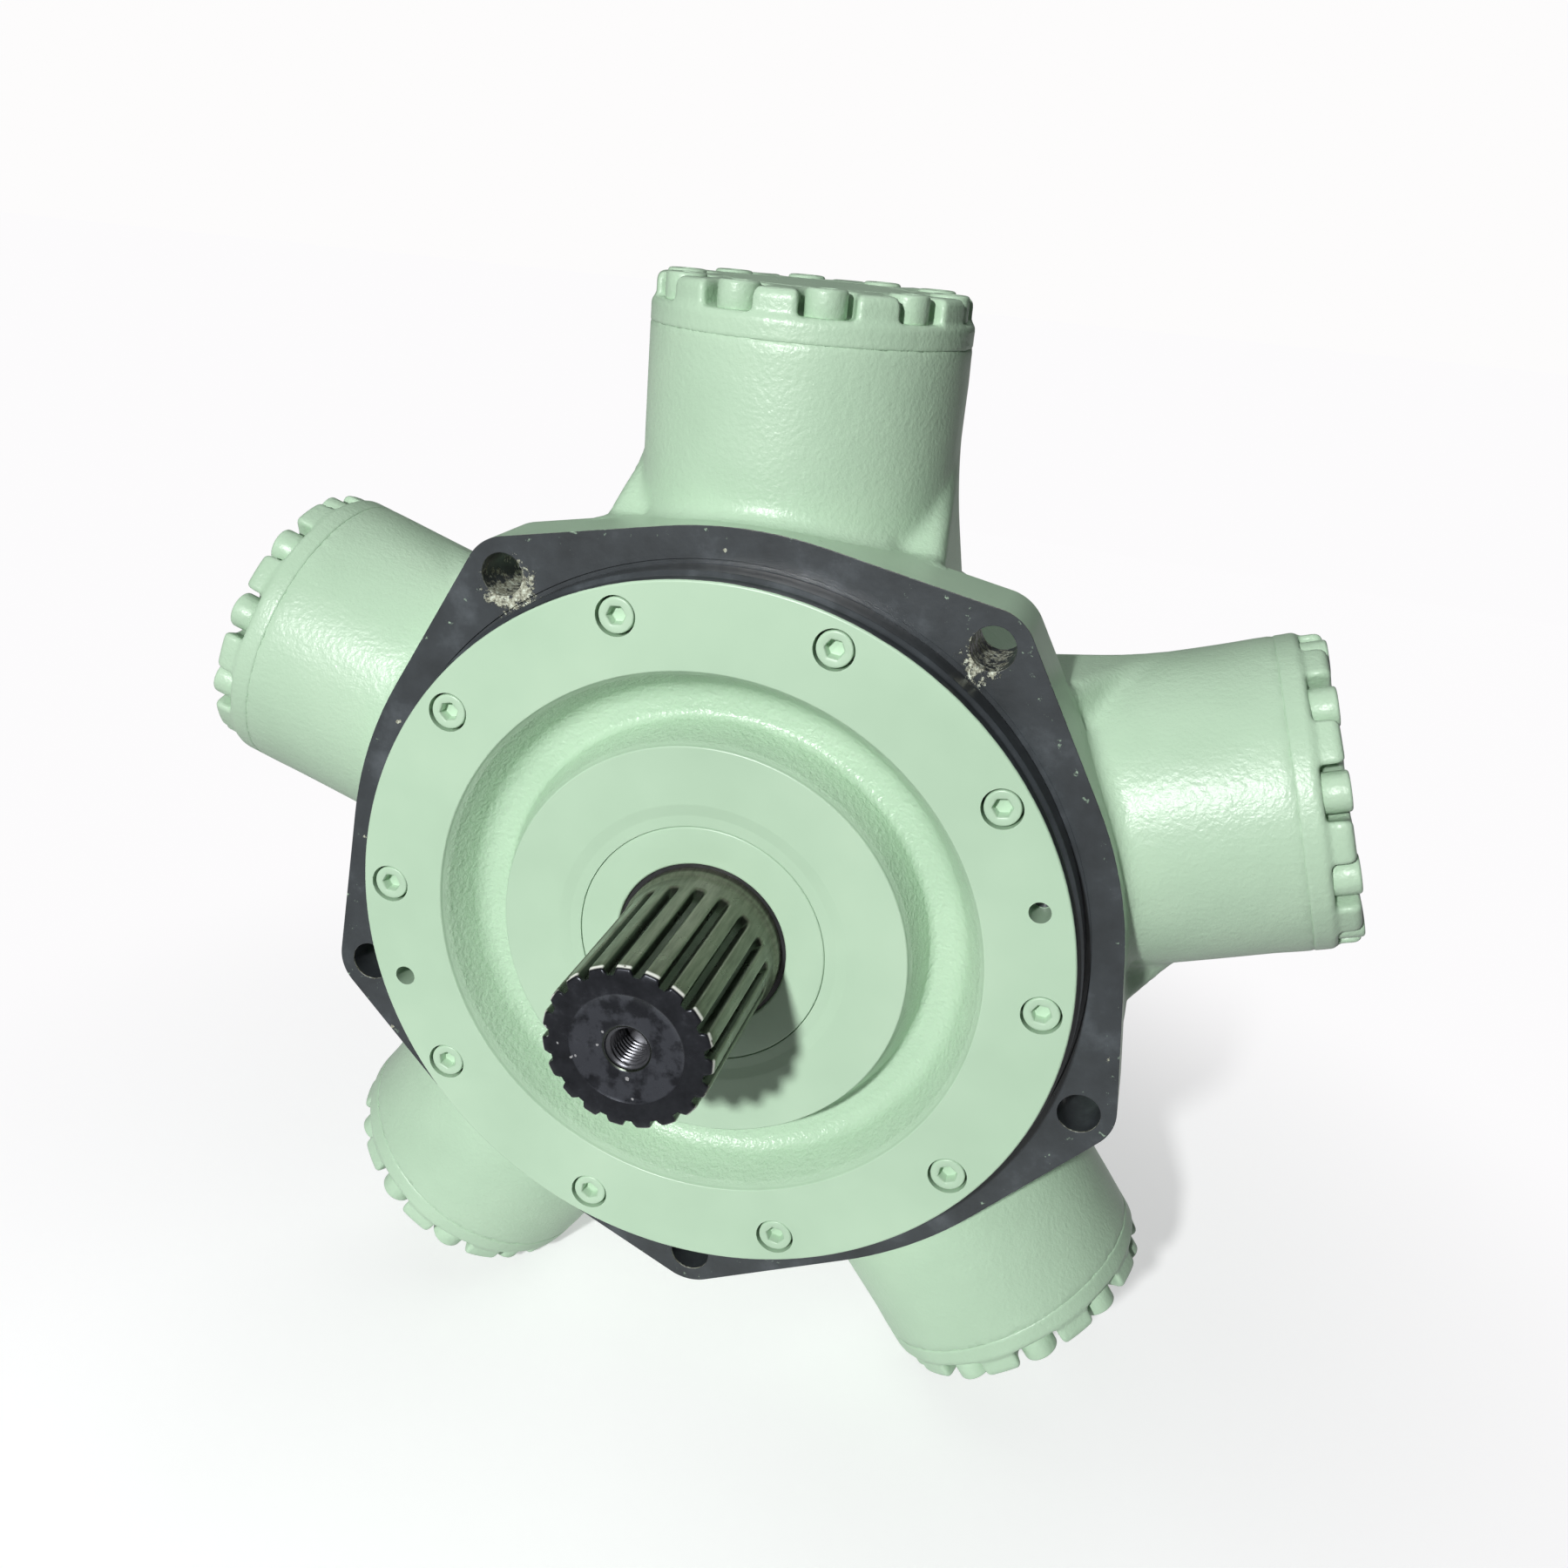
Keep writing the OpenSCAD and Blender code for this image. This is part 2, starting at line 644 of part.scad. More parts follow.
socket_gap = 0.3;
skirt_t = 9;
module piston(i) {
  top = crown_reach;
  foot = crown_reach - piston_h;
  r = bore_r - running_gap;
  seat_bottom = ball_reach - 12;
  color(steel) on_arm(i) translate([0, 0, lift(i)]) difference() {
    rotate_extrude($fn = round_fn) polygon([
      [0, seat_bottom], [r - skirt_t, seat_bottom], [r - skirt_t, foot], [r - 1, foot], [r, foot + 1],
      [r, top - 14], [r - 3.4, top - 14], [r - 3.4, top - 10], [r, top - 10], [r, top - 1.5], [r - 1.5, top],
      [0, top]
    ]);
    translate([0, 0, ball_reach]) sphere(r = ball_r + socket_gap, $fn = round_fn);
    translate([0, 0, seat_bottom - 1]) cylinder(h = 12, r = rod_r + 3, $fn = round_fn);
  }
}

module piston_ring(i) {
  r = bore_r - running_gap / 2;
  color(brass) on_arm(i) translate([0, 0, lift(i) + crown_reach - 14 + 0.1]) difference() {
    cylinder(h = 3.8, r = r, $fn = round_fn);
    translate([0, 0, -1]) cylinder(h = 6, r = bore_r - running_gap - 3.3, $fn = round_fn);
    translate([0, -0.5, -1]) cube([r + 1, 1, 6]);
  }
}

// Places children at each bolt of a cap: a rib, not a bolt, faces the shaft end
module cap_bolt_places() {
  for (k = [0 : cap_bolts - 1]) {
    rotate([0, 0, -90 + 360 * (k + 0.5) / cap_bolts]) translate([cap_bolt_circle_r, 0, 0]) children();
  }
}

module cylinder_cap(i) {
  rib_z = seam_reach + cap_band_t;
  plateau_r = cap_bolt_circle_r - cap_notch_r;
  color(mint) on_arm(i) difference() {
    rotate_extrude($fn = round_fn) polygon([
      [0, cap_inner], [bore_r - seat_gap - 1.5, cap_inner], [bore_r - seat_gap, cap_inner + 1.5],
      [bore_r - seat_gap, seam_reach + 0.02], [arm_r, seam_reach + 0.02], [arm_r, rib_z - 2],
      [cap_rim_r + 0.5, rib_z + 1], [cap_rim_r, rib_z + 3], [cap_rim_r - 0.5, cap_face - 2],
      [cap_rim_r - 2.5, cap_face], [0, cap_face]
    ]);
    // Hollow behind the crown
    translate([0, 0, cap_inner - 1]) cylinder(h = cap_plug_h - 3, r = bore_r - 14, $fn = round_fn);
    // Groove for the seal ring
    translate([0, 0, seam_reach - 14]) difference() {
      cylinder(h = groove_w, r = bore_r + 1, $fn = round_fn);
      translate([0, 0, -1]) cylinder(h = groove_w + 2, r = bore_r - groove_depth, $fn = round_fn);
    }
    // Notches that open outwards, with a round bottom behind each bolt head
    cap_bolt_places() {
      translate([0, 0, rib_z]) cylinder(h = cap_rib_h + 1, r = cap_notch_r, $fn = small_fn);
      translate([0, -cap_notch_r, rib_z]) cube([arm_r, 2 * cap_notch_r, cap_rib_h + 1]);
      translate([0, 0, seam_reach - 1]) cylinder(h = cap_band_t + 2, r = m12_r + hole_gap, $fn = small_fn);
    }
    // Shallow turned ring on the face
    translate([0, 0, cap_face - 1]) difference() {
      cylinder(h = 2, r = plateau_r - 8, $fn = round_fn);
      translate([0, 0, -1]) cylinder(h = 4, r = plateau_r - 10, $fn = round_fn);
    }
  }
}

module cap_bolt_set(i) {
  color(mint) on_arm(i) cap_bolt_places() {
    translate([0, 0, seam_reach + cap_band_t])
      socket_screw(m12_head_r, m12_head_h, m12_r, cap_band_t + cap_bolt_bite, m12_socket);
  }
}

module cap_o_ring(i) {
  color(rubber) on_arm(i) translate([0, 0, seam_reach - 14 + groove_w / 2])
    o_ring(bore_r - groove_depth / 2, groove_ring_r);
}

module distributor_housing() {
  color(mint) difference() {
    union() {
      turned([
        [0, casing_end], [housing_flange_r - 2, casing_end], [housing_flange_r, casing_end + 2],
        [housing_flange_r, casing_end + housing_flange_t - 3], [housing_flange_r - 3, casing_end + housing_flange_t],
        [housing_r + 4, casing_end + housing_flange_t], [housing_r, casing_end + housing_flange_t + 6],
        [housing_r, housing_end - 2], [housing_r - 2, housing_end], [0, housing_end]
      ]);
      // Pad for the two main ports, on top
      translate([-pad_half_x, port_y - pad_half_y, 0]) cube([2 * pad_half_x, 2 * pad_half_y, port_pad_z]);
    }
    // Spool bore, wider at the front round the rear journal
    tube(rotor_front - 2, housing_end + 1, rotor_r + running_gap / 2);
    tube(casing_end - 1, rotor_front, rear_journal_r + 6);
    // Groove for the seal ring in the front face
    tube(casing_end - 1, casing_end + face_groove_d, face_ring_r + groove_w / 2, face_ring_r - groove_w / 2);
    // Two main ports with their flange bolt holes
    for (side = [-1, 1]) translate([side * port_offset, port_y, 0]) {
      // Each ends above its own groove of the valve
      port_end = rotor_r + port_floor + (side > 0 ? port_floor_step : 0);
      translate([0, 0, port_end]) cylinder(h = port_pad_z, r = port_r, $fn = small_fn);
      for (x = [-port_bolt_x, port_bolt_x], y = [-port_bolt_y, port_bolt_y]) {
        translate([x, y, port_pad_z - port_bolt_depth])
          cylinder(h = port_bolt_depth + 1, r = port_bolt_r, $fn = small_fn);
      }
    }
    // Screw holes in the housing's flange, with spot faces
    for (k = [0 : housing_screws - 1]) round_shaft(housing_screw_angle(k), housing_screw_circle_r) {
      tube(casing_end - 1, casing_end + housing_flange_t + 1, m12_r + hole_gap, fn = small_fn);
      tube(casing_end + housing_flange_t - spot_depth, casing_end + housing_flange_t + m12_head_h,
        m12_head_r + 1.5, fn = small_fn);
    }
    // Tapped holes for the rear cover
    for (k = [0 : rear_screws - 1]) round_shaft(rear_screw_angle(k), rear_screw_circle_r) {
      tube(housing_end - rear_screw_bite - tapping_spare, housing_end + 1, m10_r + running_gap, fn = small_fn);
    }
    // Drain port
    translate([0, port_y, -housing_r - 1]) cylinder(h = drain_depth + 1, r = drain_r + seat_gap, $fn = small_fn);
  }
}

drain_r = 10;
drain_depth = 14;
drain_head_h = 7;
module distributor_screws() {
  color(steel) for (k = [0 : housing_screws - 1]) {
    round_shaft(housing_screw_angle(k), housing_screw_circle_r)
      translate([0, casing_end + housing_flange_t - spot_depth, 0]) rotate([-90, 0, 0])
      socket_screw(m12_head_r, m12_head_h, m12_r, housing_flange_t - spot_depth + housing_screw_bite, m12_socket);
  }
}

module distributor_o_ring() {
  color(rubber) from_rear(casing_end + face_groove_d / 2) o_ring(face_ring_r, face_groove_d / 2 - running_gap);
}

module rear_cover() {
  color(mint) difference() {
    turned([
      [0, housing_end - 1.8], [rotor_r - 1, housing_end - 1.8], [rotor_r - 1, housing_end],
      [rear_cover_r, housing_end], [rear_cover_r, rear_end - 2], [rear_cover_r - 2, rear_end], [0, rear_end]
    ]);
    for (k = [0 : rear_screws - 1]) round_shaft(rear_screw_angle(k), rear_screw_circle_r) {
      tube(housing_end - 1, rear_end + 1, m10_r + hole_gap, fn = small_fn);
    }
  }
}

module rear_cover_screws() {
  color(steel) for (k = [0 : rear_screws - 1]) {
    round_shaft(rear_screw_angle(k), rear_screw_circle_r) translate([0, rear_end, 0]) rotate([-90, 0, 0])
      socket_screw(m10_head_r, m10_head_h, m10_r, rear_cover_t + rear_screw_bite, m10_socket);
  }
}

module drain_plug() {
  color(steel) translate([0, port_y, -housing_r]) rotate([180, 0, 0])
    socket_screw(drain_r + 4, drain_head_h, drain_r, drain_depth - 1, m12_socket);
}

module distributor_rotor() {
  r = rotor_r - running_gap / 2;
  groove = 5;
  l = rotor_rear - rotor_front;
  color(steel) difference() {
    turned([
      [0, rotor_front + seat_gap], [r - 1, rotor_front + seat_gap], [r, rotor_front + 1.2],
      [r, rotor_front + 0.12 * l], [r - groove, rotor_front + 0.12 * l],
      [r - groove, rotor_front + 0.26 * l], [r, rotor_front + 0.26 * l],
      [r, rotor_front + 0.70 * l], [r - groove, rotor_front + 0.70 * l],
      [r - groove, rotor_front + 0.84 * l], [r, rotor_front + 0.84 * l],
      [r, rotor_rear - 1], [r - 1, rotor_rear], [0, rotor_rear]
    ]);
    // Half-moon timing pockets
    for (side = [0, 180]) rotate([0, side, 0]) translate([r - 4, (rotor_front + rotor_rear) / 2 - 9, -26])
      cube([10, 18, 52]);
    translate(drive_pin_offset * unit(rest_angle))
      tube(rotor_front - 1, crank_rear_end + drive_pin_l / 2 + 1, drive_pin_r + running_gap, fn = small_fn);
  }
}

module rotor_seal_rings() {
  r = rotor_r - running_gap / 2;
  l = rotor_rear - rotor_front;
  color(brass) for (share = [0.19, 0.77]) {
    tube(rotor_front + share * l - 3, rotor_front + share * l + 3, r, r - 4.8);
  }
}

module valve_drive_pin() {
  color(steel) translate(drive_pin_offset * unit(rest_angle))
    tube(crank_rear_end - drive_pin_l / 2 + 0.5, crank_rear_end + drive_pin_l / 2, drive_pin_r, fn = small_fn);
}

casing();
front_cover();
front_cover_screws();
front_cover_o_ring();
seal_retainer();
shaft_seal();
outer_race(bearing_front);  // front_bearing_outer_race
outer_race(bearing_rear);  // rear_bearing_outer_race
distributor_housing();
distributor_screws();
distributor_o_ring();
rear_cover();
rear_cover_screws();
drain_plug();
cylinder_cap(1);  // cylinder_cap_1
cylinder_cap(2);  // cylinder_cap_2
cylinder_cap(3);  // cylinder_cap_3
cylinder_cap(4);  // cylinder_cap_4
cylinder_cap(5);  // cylinder_cap_5
cap_bolt_set(1);  // cap_bolts_1
cap_bolt_set(2);  // cap_bolts_2
cap_bolt_set(3);  // cap_bolts_3
cap_bolt_set(4);  // cap_bolts_4
cap_bolt_set(5);  // cap_bolts_5
cap_o_ring(1);  // cap_o_ring_1
cap_o_ring(2);  // cap_o_ring_2
cap_o_ring(3);  // cap_o_ring_3
cap_o_ring(4);  // cap_o_ring_4
cap_o_ring(5);  // cap_o_ring_5
crankshaft();
inner_race(bearing_front);  // front_bearing_inner_race
inner_race(bearing_rear);  // rear_bearing_inner_race
main_rollers_at(bearing_front);  // front_bearing_rollers
main_rollers_at(bearing_rear);  // rear_bearing_rollers
eccentric_needles();
five_sided_ring();
slipper_retainers();
valve_drive_pin();
distributor_rotor();
rotor_seal_rings();
piston(1);  // piston_1
piston(2);  // piston_2
piston(3);  // piston_3
piston(4);  // piston_4
piston(5);  // piston_5
piston_ring(1);  // piston_rings_1
piston_ring(2);  // piston_rings_2
piston_ring(3);  // piston_rings_3
piston_ring(4);  // piston_rings_4
piston_ring(5);  // piston_rings_5
slipper_rod(1);  // slipper_rod_1
slipper_rod(2);  // slipper_rod_2
slipper_rod(3);  // slipper_rod_3
slipper_rod(4);  // slipper_rod_4
slipper_rod(5);  // slipper_rod_5
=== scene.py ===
"""Looks of the five-cylinder radial piston motor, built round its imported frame.

Lengths are in millimetres in the part's own frame and turned into metres when a mesh is made.
"""
import math

import bmesh
import bpy
import numpy as np
from mathutils import Matrix, Vector


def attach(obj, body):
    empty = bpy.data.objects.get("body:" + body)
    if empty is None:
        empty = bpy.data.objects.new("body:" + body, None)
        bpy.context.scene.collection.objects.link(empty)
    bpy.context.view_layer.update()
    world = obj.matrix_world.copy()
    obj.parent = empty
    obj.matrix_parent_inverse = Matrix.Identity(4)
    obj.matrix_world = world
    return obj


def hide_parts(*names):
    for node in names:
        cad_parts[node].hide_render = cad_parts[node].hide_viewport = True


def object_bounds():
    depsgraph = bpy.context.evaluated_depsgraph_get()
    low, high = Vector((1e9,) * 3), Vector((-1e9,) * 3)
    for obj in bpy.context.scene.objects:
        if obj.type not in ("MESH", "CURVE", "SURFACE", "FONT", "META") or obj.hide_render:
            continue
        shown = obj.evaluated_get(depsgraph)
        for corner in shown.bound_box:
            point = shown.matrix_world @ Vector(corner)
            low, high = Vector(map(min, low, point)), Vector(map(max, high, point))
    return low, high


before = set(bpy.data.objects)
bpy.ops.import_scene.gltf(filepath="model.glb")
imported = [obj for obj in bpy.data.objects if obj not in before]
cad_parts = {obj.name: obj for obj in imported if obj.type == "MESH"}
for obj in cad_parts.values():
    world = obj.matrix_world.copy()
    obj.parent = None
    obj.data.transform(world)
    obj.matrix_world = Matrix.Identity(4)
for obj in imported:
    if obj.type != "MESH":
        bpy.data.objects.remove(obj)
cad_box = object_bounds()

MM = 0.001
CYLINDERS = 5
# Angle from one cylinder to the next
PITCH = 360 / CYLINDERS

# Mounting flange: a circle drawn out to a rounded corner at each of its holes. It is as thick as the
# photograph shows it, 18 mm more than in the solids.
SPIGOT_R = 190.5
RELIEF_W = 2.5
RELIEF_D = 1.0
FLANGE_T = 43.0
FLANGE_R = 209.0
FLANGE_EDGE = 0.9
HOLE_CIRCLE_R = 209.55
HOLE_R = 11.0
CORNER_R = 24.0
CORNER_AT = 204.0
# Room for the mounting bolts' heads behind it
BOLT_ROOM = 18.0
BOLT_ROOM_R = 19.0

# Casing: a drum with five cylinders, a boss behind and a bored mouth in front
CYLINDER_Y = 100.0
DRUM_R = 188.0
DRUM_END = 182.0
DRUM_ROUND = 22.0
REAR_BOSS_R = 128.0
REAR_BOSS_Y = 100.0
CASING_END = 196.0
PLUG_R = 149.0
PLUG_T = 12.0
PLUG_GAP = 0.6
# Its turned hollows on the shaft's line: radius, start and end
HOLLOWS = (
    (PLUG_R + PLUG_GAP, -9.0, PLUG_T + PLUG_GAP),
    (103.0, -9.0, 60.0),
    (146.0, 47.0, 153.0),
    (91.0, 150.0, 190.0),
    (50.0, 150.0, 210.0),
)
# Fillets that the casting pattern leaves where its forms meet
ARM_FILLET = 18.0
BOSS_FILLET = 16.0
FLANGE_FILLET = 9.0
WEB_FILLET = 5.0
SAND_WAVE = 0.22

# Web at the foot of a cylinder: half width at the drum, and how it narrows and leans back outwards
WEB_BASE_R = 194.0
WEB_HALF = 89.0
WEB_TAPER = 0.18
WEB_LEAN = 1.35
WEB_PAST_ARM = 12.0

# Cylinders and their caps
ARM_R = 82.3
BORE_R = 52.0
BORE_START = 100.0
SEAM_R = 293.0
SEAM_STEP = 0.7
SEAM_LAP = 3.0
BAND_T = 12.0
CAP_FACE = 317.0
CAP_INNER = 271.0
CAP_PLUG_GAP = 0.4
CAP_WAVE = 0.12
CAP_BOLTS = 10
CAP_BOLT_R = 68.5
CROWN_INSET = 2.2
NOTCH_R = 13.5
FACE_RING_R = 48.5
FACE_RING_W = 2.4
FACE_RING_D = 0.8

# Front cover
COVER_FACE = -25.0
COVER_R = 188.0
COVER_RIM_T = 9.0
COVER_RIM_SLOPE = 1.5
COVER_PLUG_IN_R = 102.0
COVER_SLEEVE_R = 91.0
COVER_SLEEVE_END = 46.0
COVER_SLEEVE_FLOOR = 11.0
COVER_SEAL_R = 56.0
COVER_SEAL_T = 25.0
COVER_GAP = 0.2
COVER_EDGE = 0.45
TROUGH_R = 144.0
HUB_R = 106.5
# The depth that the trough's shadow shows, 8 mm more than in the solids
TROUGH_DEPTH = 25.0
COVE_ANGLE = 62
COVE_R = 12.0
HUB_DIP = 0.8
COVER_SCREWS = 10
COVER_SCREW_R = 173.0
COUNTERBORE_R = 10.2
COUNTERBORE_T = 13.0
# Two tapped holes that press the cover off, halfway between screws
JACKING_ANGLES = (180 / COVER_SCREWS, 180 / COVER_SCREWS + 180)
JACKING_R = 5.4
JACKING_DEPTH = 18.0
RETAINER_R = 64.6
RETAINER_IN_R = 44.6
RETAINER_T = 12.0
RETAINER_GAP = 0.15

# Socket-head screws of the cover and the caps, the caps' ones thick with paint
M12_R = 6.0
M12_HEAD_R = 9.0
M12_HEAD_H = 12.0
M12_SOCKET = 8.6
M12_SOCKET_T = 6.0
SOCKET_EDGE = 0.7
COVER_SCREW_L = 30.0
CAP_BOLT_L = 34.0
PAINT = 1.1

# Shaft
SHAFT_END = 131.0
TIP_R = 40.6
ROOT_R = 36.5
TEETH = 19
TOOTH_STEPS = 24
SPLINE_L = 80.0
RUN_OUT = 12.0
SEAL_R = 42.0
CUT_Y = -18.0
END_HOLE_R = 8.5
END_HOLE_T = 22.0
END_RECESS_R = 27.0
END_RECESS_T = 0.5
THREAD_PITCH = 2.5
THREAD_DEPTH = 1.5

# How far a cutter starts in front of what it cuts
CUT_PAST = 2.0

# Grid steps of the cast skins in the full model, and in the quick one
BODY_GRID, BODY_GRID_QUICK = 3.9, 6.0
CAP_GRID, CAP_GRID_QUICK = 1.4, 3.0
BODY_LOW, BODY_HIGH = (-316, 0, -300), (316, CASING_END + 1, 300)


def hex_linear(code):
    """An sRGB hex colour as the linear colour that shaders take."""
    parts = [int(code[i:i + 2], 16) / 255 for i in (1, 3, 5)]
    return [c / 12.92 if c <= 0.04045 else ((c + 0.055) / 1.055) ** 2.4 for c in parts] + [1.0]


def add_node(tree, kind, links=(), **settings):
    """Adds a node. Settings named in_X set its socket X, others the node; links are (socket, source)."""
    made = tree.nodes.new(kind)
    for key, value in settings.items():
        if key.startswith("in_"):
            name = key[3:]
            made.inputs[int(name) if name.isdigit() else name.replace("_", " ")].default_value = value
        else:
            setattr(made, key, value)
    for socket, source in links:
        tree.links.new(source, made.inputs[socket])
    return made


def new_object(name, data):
    """An object in the scene, with this mesh, lamp or camera."""
    made = bpy.data.objects.new(name, data)
    bpy.context.scene.collection.objects.link(made)
    return made


# Camera, fitted to the photograph: its place and its directions in the part's frame
CAMERA_AT = Vector((0.1833, -0.6643, 0.3496))
CAMERA_RIGHT = Vector((0.9629, 0.2559, 0.0853))
CAMERA_FORWARD = Vector((-0.2095, 0.9085, -0.3615))
FOCAL_PX = 1690.0
FRAME_PX = 1800


def make_camera():
    """A pinhole camera from those directions, squared up."""
    data = bpy.data.cameras.new("camera")
    data.sensor_width = 36
    data.lens = 36 * FOCAL_PX / FRAME_PX
    data.clip_start = 0.01
    camera = new_object("camera", data)
    back = -CAMERA_FORWARD.normalized()
    right = (CAMERA_RIGHT - CAMERA_RIGHT.dot(back) * back).normalized()
    up = back.cross(right)
    turn = Matrix((right, up, back)).transposed()
    camera.matrix_world = Matrix.Translation(CAMERA_AT) @ turn.to_4x4()
    bpy.context.scene.camera = camera


def area_light(name, place, target, size, power):
    """A round white soft light of size metres, turned towards its target."""
    data = bpy.data.lights.new(name, "AREA")
    data.shape = "DISK"
    data.size = size
    data.energy = power
    lamp = new_object(name, data)
    lamp.location = place
    lamp.rotation_euler = (Vector(target) - Vector(place)).to_track_quat("-Z", "Y").to_euler()
    return lamp


# The paper floor: its own colour counts near the motor, where the shadow falls, and its glow far away
FLOOR_Z = cad_box[0][2]
FLOOR_Y = 0.1
FLOOR_HALF = 12.0
FADE_START, FADE_END = 0.30, 0.72
NEAR_GLOW, FAR_GLOW = 0.42, 0.975
MIRROR_SHARE = 0.5


def seen_white(tree):
    """One where the camera looks at the paper, less in a mirror, nought where the paper only gives light."""
    path = add_node(tree, "ShaderNodeLightPath").outputs
    mirror = sums(tree, "MAXIMUM", path["Is Glossy Ray"], path["Is Transmission Ray"])
    return sums(tree, "MAXIMUM", path["Is Camera Ray"], sums(tree, "MULTIPLY", mirror, MIRROR_SHARE))


def make_lights():
    """One clear key light in front, and soft light from above, the left and behind."""
    area_light("key", (-0.32, -2.37, 1.05), (0, 0, 0), 0.16, 73)
    area_light("left", (-1.5, -1.6, 0.5), (0, 0.05, 0), 1.4, 1.8)
    area_light("top", (-0.3, 0.35, 1.9), (0, 0.1, 0), 2.2, 8)
    back = area_light("back", (0.3, 2.6, 0.3), (0, 0.1, 0), 2.0, 26)
    # Without this the gloss paint shows the lamp as a white rim
    back.visible_glossy = False


def make_world():
    """A white background that gives only a little light."""
    world = bpy.data.worlds.new("studio")
    bpy.context.scene.world = world
    world.use_nodes = True
    tree = world.node_tree
    tree.nodes.clear()
    path = add_node(tree, "ShaderNodeLightPath").outputs
    soft = add_node(tree, "ShaderNodeBackground", in_Color=hex_linear("#F4F7FA"), in_Strength=0.055)
    white = add_node(tree, "ShaderNodeBackground", in_Color=hex_linear("#FDFCFC"), in_Strength=1.0)
    mix = add_node(tree, "ShaderNodeMixShader", [(0, path["Is Camera Ray"]), (1, soft.outputs[0]),
                                                 (2, white.outputs[0])])
    add_node(tree, "ShaderNodeOutputWorld", [("Surface", mix.outputs[0])])


def make_floor():
    """White paper: it takes the motor's shadow close by and runs out into the white background."""
    half = FLOOR_HALF
    corners = [(-half, -half, 0), (half, -half, 0), (half, half, 0), (-half, half, 0)]
    mesh = bpy.data.meshes.new("floor")
    mesh.from_pydata(corners, [], [(0, 1, 2, 3)])
    floor = new_object("floor", mesh)
    floor.location = (0, FLOOR_Y, FLOOR_Z)
    material, tree, shader = new_material("white studio paper")
    away = length_of(tree, object_point(tree))
    fading = between(tree, away, FADE_START, FADE_END, smooth=True)
    glow = sums(tree, "ADD", NEAR_GLOW, sums(tree, "MULTIPLY", fading, FAR_GLOW - NEAR_GLOW))
    glow = sums(tree, "MULTIPLY", glow, seen_white(tree))
    feed(tree, shader, Base_Color=mixed(tree, fading, "#DDDEDE", "#0A0A0A"), Roughness=0.9,
         Specular_IOR_Level=0, Emission_Color="#FFFEFF", Emission_Strength=glow)
    floor.data.materials.append(material)


# Finishes


def new_material(name):
    material = bpy.data.materials.new(name)
    material.use_nodes = True
    return material, material.node_tree, material.node_tree.nodes["Principled BSDF"]


def put(tree, socket, value):
    """Links an input to another socket, or sets it to a number, a colour or a hex colour."""
    if isinstance(value, bpy.types.NodeSocket):
        tree.links.new(value, socket)
    else:
        socket.default_value = hex_linear(value) if isinstance(value, str) else value


def feed(tree, shader, **values):
    """Puts values into a shader's inputs, named with _ for each space."""
    for key, value in values.items():
        put(tree, shader.inputs[key.replace("_", " ")], value)


def object_point(tree):
    return add_node(tree, "ShaderNodeTexCoord").outputs["Object"]


def separate(tree, point):
    """The point's x, y and z."""
    return add_node(tree, "ShaderNodeSeparateXYZ", [(0, point)]).outputs


def length_of(tree, vector):
    return add_node(tree, "ShaderNodeVectorMath", [(0, vector)], operation="LENGTH").outputs["Value"]


def seen_along_shaft(tree, parts):
    """The point without its place along the shaft."""
    return add_node(tree, "ShaderNodeCombineXYZ", [("X", parts[0]), ("Y", parts[2])]).outputs[0]


def from_shaft(tree, parts):
    """How far a point lies from the shaft's axis."""
    return length_of(tree, seen_along_shaft(tree, parts))


def from_axis(tree, parts, angle, radius):
    """How far a point lies from an axis along the shaft's direction, at an angle and a radius from it."""
    x, _, z = around(angle, radius, 0)
    away = add_node(tree, "ShaderNodeVectorMath", [(0, seen_along_shaft(tree, parts))],
                    operation="DISTANCE", in_1=(x * MM, z * MM, 0))
    return away.outputs["Value"]


def noise(tree, point, size_mm, detail=2.0, rough=0.5):
    """Noise whose lumps are about size_mm across."""
    made = add_node(tree, "ShaderNodeTexNoise", [("Vector", point)], in_Scale=1 / (size_mm * MM),
                    in_Detail=detail, in_Roughness=rough)
    return made.outputs["Fac"]


def spots(tree, point, size_mm):
    """Distance to the nearest of scattered dots, of which there is about one in each size_mm."""
    made = add_node(tree, "ShaderNodeTexVoronoi", [("Vector", point)], in_Scale=1 / (size_mm * MM))
    return made.outputs["Distance"]


def ramp(tree, value, stops):
    """A colour ramp with stops of (place, hex colour)."""
    made = add_node(tree, "ShaderNodeValToRGB", [(0, value)])
    while len(made.color_ramp.elements) < len(stops):
        made.color_ramp.elements.new(0.5)
    for element, (place, colour) in zip(made.color_ramp.elements, stops):
        element.position = place
        element.color = hex_linear(colour)
    return made.outputs["Color"]


def between(tree, value, low, high, to_low=0.0, to_high=1.0, smooth=False):
    """A value's place between low and high, held inside them."""
    made = add_node(tree, "ShaderNodeMapRange", [("Value", value)], clamp=True,
                    interpolation_type="SMOOTHSTEP" if smooth else "LINEAR")
    for name, number in (("From Min", low), ("From Max", high), ("To Min", to_low), ("To Max", to_high)):
        made.inputs[name].default_value = number
    return made.outputs[0]


def between_mm(tree, length, low, high, to_low=0.0, to_high=1.0):
    """The same for a length, between two in millimetres."""
    return between(tree, length, low * MM, high * MM, to_low, to_high)


def bump(tree, height, depth_mm, normal=None):
    """Relief depth_mm deep where height goes from 0 to 1, with another relief's normal under it."""
    links = [("Height", height)] + ([("Normal", normal)] if normal else [])
    return add_node(tree, "ShaderNodeBump", links, in_Distance=depth_mm * MM).outputs[0]


